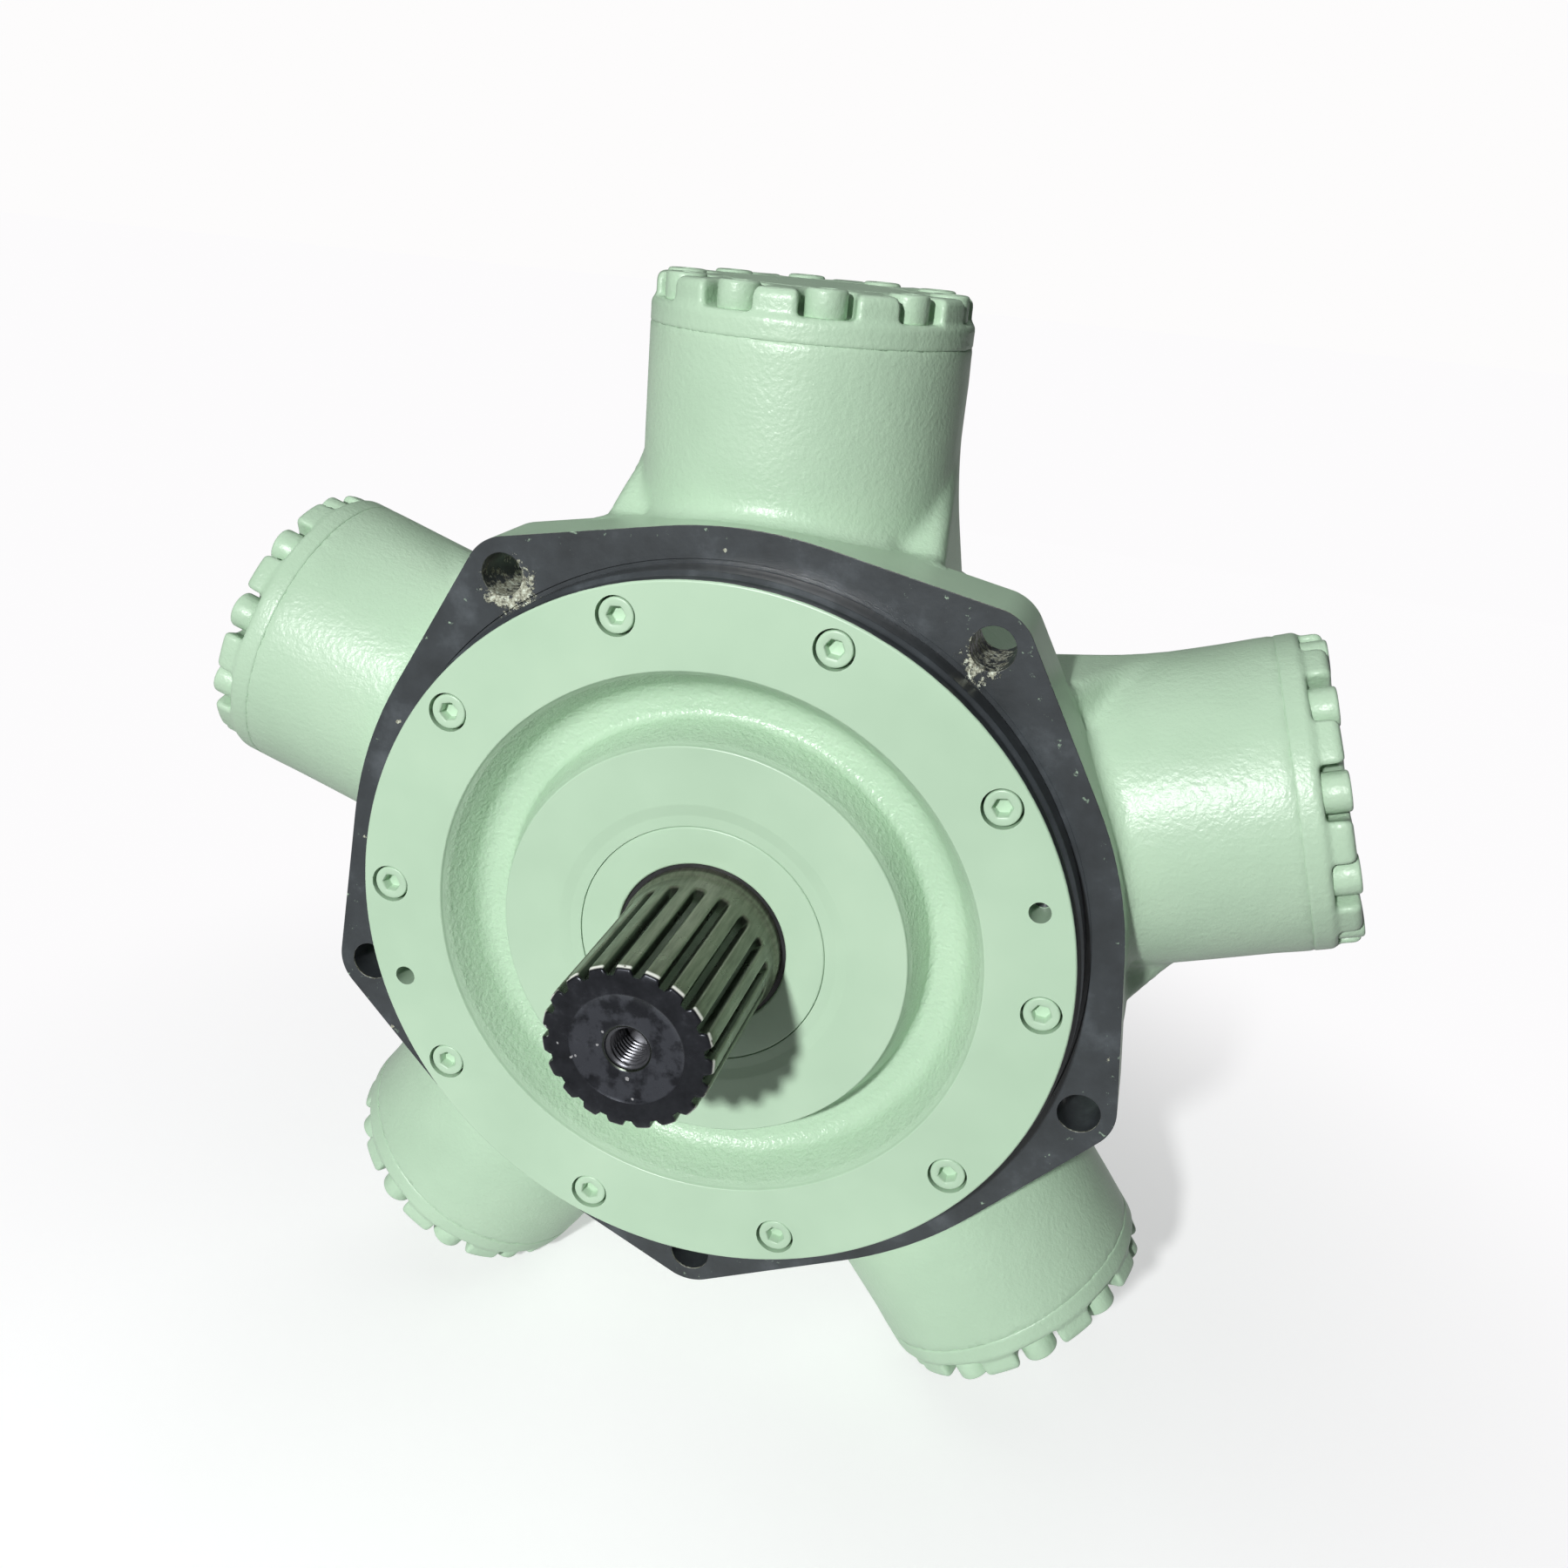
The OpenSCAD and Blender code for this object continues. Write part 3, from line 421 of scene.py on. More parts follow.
def mixed(tree, factor, first, second):
    """Mix of two colours, each a socket or a hex colour."""
    made = add_node(tree, "ShaderNodeMix", data_type="RGBA")
    tree.links.new(factor, made.inputs["Factor"])
    for name, value in (("A", first), ("B", second)):
        put(tree, [s for s in made.inputs if s.name == name and s.type == "RGBA"][0], value)
    return [s for s in made.outputs if s.type == "RGBA"][0]


def sums(tree, operation, first, *others):
    """Numbers or sockets taken together by one operation, from left to right."""
    for other in others:
        made = add_node(tree, "ShaderNodeMath", operation=operation)
        put(tree, made.inputs[0], first)
        put(tree, made.inputs[1], other)
        first = made.outputs[0]
    return first


def cast_relief(tree, point, share):
    """The orange peel of thick paint over sand-cast iron, two sizes of lumps; share makes it fade."""
    wide = bump(tree, sums(tree, "MULTIPLY", noise(tree, point, 15, 1.5), share), 0.3)
    return bump(tree, sums(tree, "MULTIPLY", noise(tree, point, 2.6, 2.0, 0.55), share), 0.38, wide)


def green_tone(tree, point):
    """Mint enamel with faint clouds, as hand spraying leaves them."""
    clouds = noise(tree, point, 85, 3, 0.55)
    return ramp(tree, clouds, [(0.28, "#AFCBB0"), (0.5, "#B5D1B6"), (0.72, "#BBD6BB")])


def black_tone(tree, point):
    """Slate-black paint, worn cloudy by handling."""
    clouds = noise(tree, point, 34, 5, 0.62)
    return ramp(tree, clouds, [(0.3, "#2C3032"), (0.55, "#3A3F42"), (0.75, "#555B5F")])


def near_holes(tree, parts, reach):
    """One within reach millimetres of a mounting hole's axis, nought elsewhere."""
    found = 0.0
    for i in range(CYLINDERS):
        away = from_axis(tree, parts, 90 + PITCH / 2 + PITCH * i, HOLE_CIRCLE_R)
        near = between_mm(tree, away, reach + 0.2, reach - 0.2)
        found = sums(tree, "MAXIMUM", found, near)
    return found


# Clear alkyd gloss
PAINT_IOR = 1.5


def cast_enamel():
    """Gloss enamel on cast iron: the pale mint skin whose highlights break into sparkling orange peel."""
    material, tree, shader = new_material("gloss mint enamel on cast iron")
    point = object_point(tree)
    parts = separate(tree, point)
    # Black in the bolt rooms behind the mounting holes: partly black paint, partly painted shade that keeps
    # them dark
    room_end = FLANGE_T + BOLT_ROOM
    room_black_and_shade = sums(tree, "MULTIPLY", near_holes(tree, parts, HOLE_R + 4),
                  between_mm(tree, parts[1], room_end + 3, room_end + 1))
    tone = mixed(tree, room_black_and_shade, green_tone(tree, point), black_tone(tree, point))
    feed(tree, shader, Base_Color=tone, Roughness=0.37, IOR=PAINT_IOR, Normal=cast_relief(tree, point, 1.0))
    return material


def smooth_enamel():
    """The same enamel on turned faces: flatter, with only a faint mist of spray in the highlights."""
    material, tree, shader = new_material("gloss mint enamel on turned iron")
    point = object_point(tree)
    fine = bump(tree, noise(tree, point, 2.4, 2.0), 0.05, bump(tree, noise(tree, point, 16, 1.0), 0.12))
    feed(tree, shader, Base_Color=green_tone(tree, point), Roughness=0.34, IOR=PAINT_IOR, Normal=fine)
    return material


def cover_enamel():
    """Front cover: quiet sheen on the turned rim and hub, rough iron in the trough, black on its side."""
    material, tree, shader = new_material("mint enamel on the front cover, black on its side")
    point = object_point(tree)
    parts = separate(tree, point)
    radius = from_shaft(tree, parts)
    depth = between_mm(tree, parts[1], COVER_FACE + 1.5, COVER_FACE + 5)
    inside = between_mm(tree, radius, TROUGH_R + 2, TROUGH_R + 1)
    wander = sums(tree, "MULTIPLY", noise(tree, point, 7, 4, 0.6), 1.4 * MM)
    painted_to = sums(tree, "ADD", parts[1], wander)
    dark = sums(tree, "MULTIPLY", between_mm(tree, radius, COVER_R - 1.2, COVER_R - 0.7),
                between_mm(tree, painted_to, COVER_FACE + 1.6, COVER_FACE + 1.9))
    # The two jacking holes are painted black: painted shade inside them
    for angle in JACKING_ANGLES:
        away = from_axis(tree, parts, angle, COVER_SCREW_R)
        hole = between_mm(tree, away, JACKING_R + 0.1, JACKING_R - 0.4)
        dark = sums(tree, "MAXIMUM", dark, hole)
    tone = mixed(tree, dark, green_tone(tree, point), black_tone(tree, point))
    trough = sums(tree, "MULTIPLY", depth, inside)
    cast = sums(tree, "ADD", sums(tree, "MULTIPLY", trough, 2.0), 0.1)
    feed(tree, shader, Base_Color=tone, Roughness=0.32, IOR=PAINT_IOR, Normal=cast_relief(tree, point, cast))
    return material


# Mounting holes with filler beside them: angle, how far it reaches in millimetres, and how thick it lies
SCABS = ((126, 24, 0.29), (54, 20, 0.22), (-162, 15, 0.12), (-18, 15, 0.12), (-90, 15, 0.1))


def flange_paint():
    """Flange: slate-black handled paint in front, chipped to pale filler, with the body's green behind."""
    material, tree, shader = new_material("worn black paint and green sides of the flange")
    point = object_point(tree)
    parts = separate(tree, point)
    # The green begins a little behind the front edge, along a wandering line, and stays out of the holes
    wander = sums(tree, "SUBTRACT", noise(tree, point, 6, 4, 0.65), 0.5)
    edge = sums(tree, "ADD", parts[1], sums(tree, "MULTIPLY", wander, 2.6 * MM))
    rim_zone = between_mm(tree, from_shaft(tree, parts), FLANGE_R - 6, FLANGE_R - 5)
    side = sums(tree, "MULTIPLY", between_mm(tree, edge, 0.35, 0.6), rim_zone)
    clear_of_holes = sums(tree, "SUBTRACT", 1.0, near_holes(tree, parts, HOLE_R + 1.2))
    side = sums(tree, "MULTIPLY", side, clear_of_holes)
    # Small chips all over
    ragged = sums(tree, "MULTIPLY", noise(tree, point, 3, 3), 0.35)
    small = between(tree, sums(tree, "ADD", spots(tree, point, 17), ragged), 0.235, 0.215)
    # Scabs of old filler beside the holes, thickest at the upper two
    beside_holes = 0.0
    for angle, reach, weight in SCABS:
        away = from_axis(tree, parts, angle, HOLE_CIRCLE_R - 7)
        near = between_mm(tree, away, reach, 9, 0, weight)
        beside_holes = sums(tree, "MAXIMUM", beside_holes, near)
    scabs = between(tree, sums(tree, "ADD", noise(tree, point, 7, 8, 0.78), beside_holes), 0.715, 0.735)
    # Bare stretches of the front edge
    edge_band = sums(tree, "MULTIPLY", between_mm(tree, parts[1], 0.12, 0.3),
                     between_mm(tree, parts[1], 1.1, 0.9))
    rubbed = between(tree, noise(tree, point, 11, 4, 0.6), 0.37, 0.44)
    worn = sums(tree, "MULTIPLY", edge_band, rubbed, rim_zone)
    chipped = sums(tree, "MAXIMUM", small, scabs, worn)
    grain = noise(tree, point, 2.2, 4, 0.7)
    cream = ramp(tree, grain, [(0.36, "#55564C"), (0.5, "#A5A793"), (0.64, "#DCE6D6")])
    front = mixed(tree, chipped, black_tone(tree, point), cream)
    tone = mixed(tree, side, front, green_tone(tree, point))
    rough = sums(tree, "ADD", sums(tree, "MULTIPLY", chipped, 0.3), 0.33)
    relief = bump(tree, noise(tree, point, 2.6, 3, 0.6), 0.10, bump(tree, noise(tree, point, 15, 2), 0.25))
    feed(tree, shader, Base_Color=tone, Roughness=rough, IOR=PAINT_IOR,
         Normal=bump(tree, chipped, 0.12, relief))
    return material


def machined_metal(name, dark, light, roughness):
    """Inner pieces, turned or ground: clean metal with faint clouds of oil and a fine grain."""
    material, tree, shader = new_material(name)
    point = object_point(tree)
    clouds = noise(tree, point, 14, 4, 0.6)
    feed(tree, shader, Base_Color=ramp(tree, clouds, [(0.3, dark), (0.7, light)]), Metallic=1.0,
         Roughness=roughness, Normal=bump(tree, noise(tree, point, 0.8, 3), 0.02))
    return material


def spline_steel():
    """Splined end: blackened, oiled steel, with the teeth's tops rubbed lighter and pale knocked edges,
    partly a painted highlight.
    """
    material, tree, shader = new_material("blackened oiled spline steel")
    point = object_point(tree)
    parts = separate(tree, point)
    radius = from_shaft(tree, parts)
    streaks = add_node(tree, "ShaderNodeMapping", [("Vector", point)], in_Scale=(1.0, 0.1, 1.0)).outputs[0]
    film = ramp(tree, noise(tree, streaks, 4, 3, 0.5), [(0.3, "#22281F"), (0.7, "#353C30")])
    worn_tone = ramp(tree, noise(tree, streaks, 2.2, 4, 0.6), [(0.3, "#5C6053"), (0.7, "#7E8173")])
    top = between_mm(tree, radius, TIP_R - 1.1, TIP_R - 0.3)
    base = mixed(tree, top, film, worn_tone)
    # Knocked ends of the teeth, pale and not metallic: partly bare steel, partly a painted highlight
    near_end = between_mm(tree, parts[1], -SHAFT_END + 2.9, -SHAFT_END + 1.9)
    knocked = between(tree, noise(tree, point, 9, 3, 0.6), 0.4, 0.46)
    knocked_edge_glint = sums(tree, "MULTIPLY", near_end, top, knocked)
    base = mixed(tree, knocked_edge_glint, base, "#E4E6DE")
    # End face: cloudy black, with pale specks and lighter patches in its glossier round recess
    face = between_mm(tree, parts[1], -SHAFT_END + 1.0, -SHAFT_END + 0.7)
    clouds = noise(tree, point, 9, 5, 0.65)
    end_tone = ramp(tree, clouds, [(0.32, "#202226"), (0.6, "#2D2F34"), (0.8, "#484A50")])
    recess = between_mm(tree, radius, END_RECESS_R + 0.4, END_RECESS_R - 0.2)
    recess_patches = between(tree, noise(tree, point, 12, 4, 0.6), 0.42, 0.52, 0.0, 0.6)
    end_tone = mixed(tree, sums(tree, "MULTIPLY", recess, recess_patches), end_tone, "#55585F")
    ragged = sums(tree, "MULTIPLY", noise(tree, point, 3, 2), 0.3)
    speck = between(tree, sums(tree, "ADD", spots(tree, point, 9), ragged), 0.225, 0.205)
    end_tone = mixed(tree, speck, end_tone, "#B9BABB")
    bore = between_mm(tree, radius, END_HOLE_R + 2.6, END_HOLE_R + 2.2)
    end_tone = mixed(tree, bore, end_tone, "#55565A")
    tone = mixed(tree, sums(tree, "MAXIMUM", face, bore), base, end_tone)
    metal = sums(tree, "MULTIPLY", sums(tree, "SUBTRACT", 1.0, knocked_edge_glint), 0.7)
    rough = between(tree, noise(tree, point, 11, 4, 0.6), 0.3, 0.7, 0.24, 0.4)
    end_shine = sums(tree, "MULTIPLY", face, recess, -0.09)
    relief = bump(tree, noise(tree, streaks, 1.1, 3), 0.02, bump(tree, noise(tree, point, 7, 2), 0.05))
    feed(tree, shader, Base_Color=tone, Metallic=metal, Roughness=sums(tree, "ADD", rough, end_shine),
         Normal=relief)
    return material


def black_rubber():
    """Nitrile rubber, moulded: deep black with a satin bloom."""
    material, tree, shader = new_material("moulded nitrile rubber")
    point = object_point(tree)
    tone = ramp(tree, noise(tree, point, 5, 3), [(0.3, "#161718"), (0.7, "#232426")])
    feed(tree, shader, Base_Color=tone, Roughness=0.5)
    return material


def dress(piece, material):
    """Gives a piece its one finish."""
    piece.data.materials.clear()
    piece.data.materials.append(material)


def stand_in(piece, node_name, finish=None, body="motor_body"):
    """Shows a piece in place of a node's solid. A ring of screws brings its finish with it."""
    if finish:
        dress(piece, finish)
    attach(piece, body)
    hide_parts(node_name)


# Shapes: signed distances in millimetres, negative inside, for soft cast forms


def soft_min(a, b, reach):
    """Union of two distances with a fillet about reach wide."""
    blend = np.maximum(reach - np.abs(a - b), 0) / reach
    return np.minimum(a, b) - blend * blend * reach / 4


def soft_max(a, b, reach):
    """What two distances share, with an edge rounded about reach wide."""
    return -soft_min(-a, -b, reach)


def from_nearest_arm(x, z):
    """Across and along the nearest cylinder, and along and across the nearest flange corner."""
    angle = np.degrees(np.arctan2(z, x)) - 90
    off = np.radians((angle + PITCH / 2) % PITCH - PITCH / 2)
    r = np.hypot(x, z)
    aside = math.radians(PITCH / 2) - np.abs(off)
    return r * np.sin(off), r * np.cos(off), r * np.cos(aside), r * np.sin(aside), r


def flange_distance(to_corner, beside, r):
    """Outline of the mounting flange: a circle drawn out to a rounded corner at each hole."""
    tangent = math.acos((FLANGE_R - CORNER_R) / CORNER_AT)
    c, s = math.cos(tangent), math.sin(tangent)
    corner = np.hypot(to_corner - CORNER_AT, beside) - CORNER_R
    line = to_corner * c + beside * s - FLANGE_R
    shape = np.where(beside * c > to_corner * s, r - FLANGE_R, line)
    return np.where(beside * c < (to_corner - CORNER_AT) * s, corner, shape)


def tube_distance(r, y, radius, y0, y1):
    """A round bar on the shaft's line."""
    return np.maximum(r - radius, np.maximum(y0 - y, y - y1))


def web_distance(across, along, y):
    """The web at a cylinder's foot, which leans back from the flange to behind the cylinder's middle."""
    out = along - WEB_BASE_R
    front = (FLANGE_T - y + WEB_LEAN * out) / math.hypot(1, WEB_LEAN)
    side = np.abs(across) - WEB_HALF + WEB_TAPER * out
    web = soft_max(side, soft_max(front, y - CYLINDER_Y - WEB_PAST_ARM, 6), 7)
    # It stays behind the flange's front, where the relief is turned
    return np.maximum(web, FLANGE_T / 3 - y)


def cast_distance(p):
    """The casing as one sand casting: drum, cylinders, webs, flange and rear boss, all run together."""
    x, y, z = p[..., 0], p[..., 1], p[..., 2]
    across, along, to_corner, beside, r = from_nearest_arm(x, z)
    from_arm = np.hypot(across, y - CYLINDER_Y)
    drum = soft_max(r - DRUM_R, np.abs(y - DRUM_END / 2) - DRUM_END / 2, DRUM_ROUND)
    # Each cylinder runs on into its cap, a little narrower there, so that the seam shows
    arm = from_arm - ARM_R + SEAM_STEP * np.clip((along - SEAM_R + 1.5) / 3, 0, 1)
    body = soft_min(drum, arm, ARM_FILLET)
    body = soft_min(body, tube_distance(r, y, REAR_BOSS_R, REAR_BOSS_Y, CASING_END), BOSS_FILLET)
    waves = np.sin(x / 17 + 1.3 * np.sin(z / 23)) * np.sin(z / 19 + y / 21) + np.sin(y / 15 + x / 31)
    body = body + SAND_WAVE * waves * np.clip((SEAM_R - 6 - along) / 12, 0, 1)
    body = soft_min(body, web_distance(across, along, y), WEB_FILLET)
    outline = flange_distance(to_corner, beside, r)
    # The casting begins a little behind the flange's machined front, which is a piece of its own
    behind_plate = np.maximum(2.2 - y, y - FLANGE_T)
    body = soft_min(body, soft_max(outline + 0.3, behind_plate, 5), FLANGE_FILLET)
    body = np.maximum(body, along - SEAM_R - SEAM_LAP)
    hole = np.hypot(to_corner - HOLE_CIRCLE_R, beside)
    room = np.maximum(hole - BOLT_ROOM_R, np.maximum(FLANGE_T - y, y - FLANGE_T - BOLT_ROOM))
    body = soft_max(body, -room, 3)
    # The bores are a little wider than the solids' ones, so that no moving piece cuts through the skin
    hollows = np.maximum(from_arm - BORE_R - 1, BORE_START - along)
    hollows = np.minimum(hollows, np.maximum(hole - HOLE_R - 0.5, y - FLANGE_T - 4))
    for radius, start, end in HOLLOWS:
        hollows = np.minimum(hollows, tube_distance(r, y, radius, start, end))
    return np.maximum(body, -hollows)


def grid_part(axis, along, others=slice(None)):
    """A part of a grid: one slice on one axis and another on the other two."""
    made = [others] * 3
    made[axis] = along
    return tuple(made)


def crossed_cells(field):
    """Which cells of a grid the surface crosses, and in each the middle of its crossings, in grid steps."""
    cells = tuple(n - 1 for n in field.shape)
    total = np.zeros(cells + (3,), np.float32)
    count = np.zeros(cells, np.float32)
    for axis in range(3):
        first = field[grid_part(axis, slice(0, -1))]
        second = field[grid_part(axis, slice(1, None))]
        crossing = (first < 0) != (second < 0)
        share = np.where(crossing, first / np.where(crossing, first - second, 1), 0)
        u, v = [k for k in range(3) if k != axis]
        for du, dv in ((0, 0), (1, 0), (0, 1), (1, 1)):
            cut = [slice(None)] * 3
            cut[u] = slice(du, du + cells[u])
            cut[v] = slice(dv, dv + cells[v])
            hit = crossing[tuple(cut)]
            count += hit
            total[..., axis] += np.where(hit, share[tuple(cut)], 0)
            total[..., u] += hit * du
            total[..., v] += hit * dv
    used = count > 0
    return used, np.argwhere(used).astype(np.float32) + total[used] / count[used][:, None]


def net_faces(inside, used):
    """A square for each grid edge that the surface crosses, between the four cells round that edge."""
    index = np.full(used.shape, -1, np.int64)
    index[used] = np.arange(used.sum())
    faces = []
    for axis in range(3):
        first = inside[grid_part(axis, slice(0, -1), slice(1, -1))]
        second = inside[grid_part(axis, slice(1, None), slice(1, -1))]
        edges = np.argwhere(first != second)
        leaving = first[tuple(edges.T)]
        u, v = (axis + 1) % 3, (axis + 2) % 3
        square = []
        for du, dv in ((0, 0), (1, 0), (1, 1), (0, 1)):
            cell = edges.copy()
            cell[:, u] += du
            cell[:, v] += dv
            square.append(index[tuple(cell.T)])
        square = np.stack(square, -1)
        square[~leaving] = square[~leaving][:, ::-1]
        faces.append(square)
    return np.concatenate(faces)


def settled(verts, distance, step, rounds=3):
    """The vertices pulled onto the true surface, in short moves along its slope."""
    nudge = 0.05 * step
    for _ in range(rounds):
        value = distance(verts)
        slope = [(distance(verts + way) - distance(verts - way)) / (2 * nudge) for way in nudge * np.eye(3)]
        slope = np.stack(slope, -1)
        move = -value[:, None] * slope / np.maximum((slope ** 2).sum(-1), 0.25)[:, None]
        far = np.linalg.norm(move, axis=1, keepdims=True)
        verts = verts + move * np.minimum(1, 0.45 * step / np.maximum(far, 1e-9))
    return verts


def skin(name, distance, low, high, step):
    """A mesh of the surface where distance is zero, from a grid of step millimetres (surface nets)."""
    axes = [np.arange(a - 2 * step, b + 3 * step, step) for a, b in zip(low, high)]
    field = np.empty([len(a) for a in axes], np.float32)
    for i, x in enumerate(axes[0]):
        grid = np.stack(np.meshgrid([x], axes[1], axes[2], indexing="ij"), -1)
        field[i] = distance(grid)[0]
    used, middles = crossed_cells(field)
    verts = np.stack([axes[k][0] + middles[:, k] * step for k in range(3)], -1).astype(np.float64)
    return mesh_piece(name, settled(verts, distance, step), net_faces(field < 0, used))


def mesh_piece(name, verts, faces, smooth=True):
    """A new object from vertices in millimetres and a list or array of faces."""
    mesh = bpy.data.meshes.new(name)
    mesh.from_pydata((np.asarray(verts) * MM).tolist(), [], [list(map(int, f)) for f in faces])
    mesh.validate()
    mesh.update()
    if smooth:
        mesh.shade_smooth()
    else:
        mesh.shade_flat()
    return new_object(name, mesh)


# Shapes: turned and lofted pieces


def loft(rings, close_first=False, close_last=False):
    """Vertices and faces of a skin through rings of equally many points, outside to the left of their run."""
    n = len(rings[0])
    verts = np.concatenate(rings)
    k = np.arange(n)
    faces = []
    for i in range(len(rings) - 1):
        a, b = i * n, (i + 1) * n
        faces.extend(np.stack([a + k, a + (k + 1) % n, b + (k + 1) % n, b + k], -1).tolist())
    if close_first:
        faces.append(list(range(n))[::-1])
    if close_last:
        faces.append([len(verts) - n + i for i in range(n)])
    return verts, faces


def rounded(outline, steps=5):
    """An outline of (u, v, radius) points with each corner rounded to its radius."""
    made = []
    for i, (u, v, radius) in enumerate(outline):
        here = np.array((u, v), float)
        if not radius:
            made.append(here)
            continue
        back = np.array(outline[i - 1][:2], float) - here
        on = np.array(outline[(i + 1) % len(outline)][:2], float) - here
        back /= np.linalg.norm(back)
        on /= np.linalg.norm(on)
        half = math.acos(float(np.clip(back @ on, -1, 1))) / 2
        reach = radius / math.tan(half)
        middle = here + (back + on) / np.linalg.norm(back + on) * radius / math.sin(half)
        start, end = here + back * reach - middle, here + on * reach - middle
        a0 = math.atan2(start[1], start[0])
        sweep = (math.atan2(end[1], end[0]) - a0 + math.pi) % (2 * math.pi) - math.pi
        for k in range(steps + 1):
            a = a0 + sweep * k / steps
            made.append(middle + radius * np.array((math.cos(a), math.sin(a))))
    return made


def turned(name, outline, count):
    """A closed outline of (r, y) turned round the shaft axis."""
    angles = np.arange(count) * 2 * math.pi / count
    rings = [np.stack([r * np.cos(angles), np.full(count, y), r * np.sin(angles)], -1) for r, y in outline]
    verts, faces = loft(rings + rings[:1])
    used = len(outline) * count
    faces = [[v % used for v in f] for f in faces]
    return mesh_piece(name, verts[:used], faces)


def point_out(piece):
    """Turns all normals outwards."""
    made = bmesh.new()
    made.from_mesh(piece.data)
    bmesh.ops.recalc_face_normals(made, faces=made.faces)
    made.to_mesh(piece.data)
    made.free()


def bake(piece):
    """Applies a piece's modifiers and clears them."""
    ready = piece.evaluated_get(bpy.context.evaluated_depsgraph_get())
    mesh = bpy.data.meshes.new_from_object(ready)
    mesh.name = piece.name
    piece.modifiers.clear()
    piece.data = mesh


def cut_by(piece, cutters):
    """Takes the cutters' shapes out of a piece."""
    for cutter in cutters:
        point_out(cutter)
        step = piece.modifiers.new("cut", "BOOLEAN")
        step.operation = "DIFFERENCE"
        step.solver = "EXACT"
        step.object = cutter
    bpy.context.view_layer.update()
    bake(piece)
    for cutter in cutters:
        bpy.data.objects.remove(cutter)


def soften(piece, width_mm, angle, segments):
    """Small even bevels on edges sharper than angle, and flats that stay flat between them."""
    step = piece.modifiers.new("edges", "BEVEL")
    step.width = width_mm * MM
    step.segments = segments
    step.limit_method = "ANGLE"
    step.angle_limit = math.radians(angle)
    bpy.context.view_layer.update()
    bake(piece)
    piece.data.shade_smooth()
    piece.data.set_sharp_from_angle(angle=math.radians(35))
    step = piece.modifiers.new("flats", "WEIGHTED_NORMAL")
    step.keep_sharp = True
    bpy.context.view_layer.update()
    bake(piece)


def drill(place, radius, length, count):
    """A round cutter of count sides, from its place backwards along the shaft's direction."""
    turn = Vector((0, 1, 0)).to_track_quat("Z", "Y").to_matrix()
    angles = np.arange(count) * 2 * math.pi / count
    circle = np.stack([radius * np.cos(angles), radius * np.sin(angles), np.zeros(count)], -1)
    verts, faces = loft([circle, circle + np.array((0, 0, length))], True, True)
    verts = verts @ np.array(turn).T + np.array(place)
    return mesh_piece("cutter", verts, faces, False)


def around(angle, radius, y):
    """A place at an angle round the shaft, counted from +X upwards."""
    return (radius * math.cos(math.radians(angle)), y, radius * math.sin(math.radians(angle)))


def on_arm_matrix(i):
    """From a cylinder's own frame, in which +Z runs out along it, to the part's frame."""
    turn = Matrix.Rotation(math.radians(PITCH * (i - 1)), 4, "Y")
    return Matrix.Translation((0, CYLINDER_Y * MM, 0)) @ turn


def placed(piece, matrix, name):
    """A copy of a finished piece with its mesh moved into place, so that its object stays at the origin."""
    mesh = piece.data.copy()
    mesh.transform(matrix)
    mesh.name = name
    return new_object(name, mesh)


def socket_head(name, head_r, head_h, shank_l, bevel):
    """An M12 socket-head screw along +Z with its seat at zero, its head's edges softened by paint."""
    count = 48
    socket, edge = M12_SOCKET, SOCKET_EDGE
    angles = np.arange(count) * 2 * math.pi / count

    def circle(r, z):
        return np.stack([r * np.cos(angles), r * np.sin(angles), np.full(count, z)], -1)

    def hexagon(across, z, soft):
        """A hexagon, or part of the way to a circle, which paint in its corners makes of it."""
        local = (angles + math.pi / 6) % (math.pi / 3) - math.pi / 6
        r = across / 2 / np.cos(local)
        r = r * (1 - soft) + across / 2 * 1.06 * soft
        return np.stack([r * np.cos(angles), r * np.sin(angles), np.full(count, z)], -1)

    rings = [circle(M12_R, -shank_l), circle(M12_R, 0), circle(head_r - 0.3, 0), circle(head_r, 0.4)]
    for a in np.linspace(0, math.pi / 2, 5):
        rings.append(circle(head_r - bevel + bevel * math.cos(a), head_h - bevel + bevel * math.sin(a)))
    floor_z = head_h - M12_SOCKET_T
    rings += [hexagon(socket + 2 * edge, head_h - 0.02, 0.5),
              hexagon(socket + edge, head_h - 0.3 * edge, 0.25),
              hexagon(socket, head_h - edge, 0.05), hexagon(socket, floor_z + edge, 0.05),
              hexagon(socket - edge, floor_z, 0.2), circle(0.8, floor_z - 0.6)]
    verts, faces = loft(rings, True, True)
    made = mesh_piece(name, verts, faces)
    point_out(made)
    made.data.set_sharp_from_angle(angle=math.radians(42))
    return made


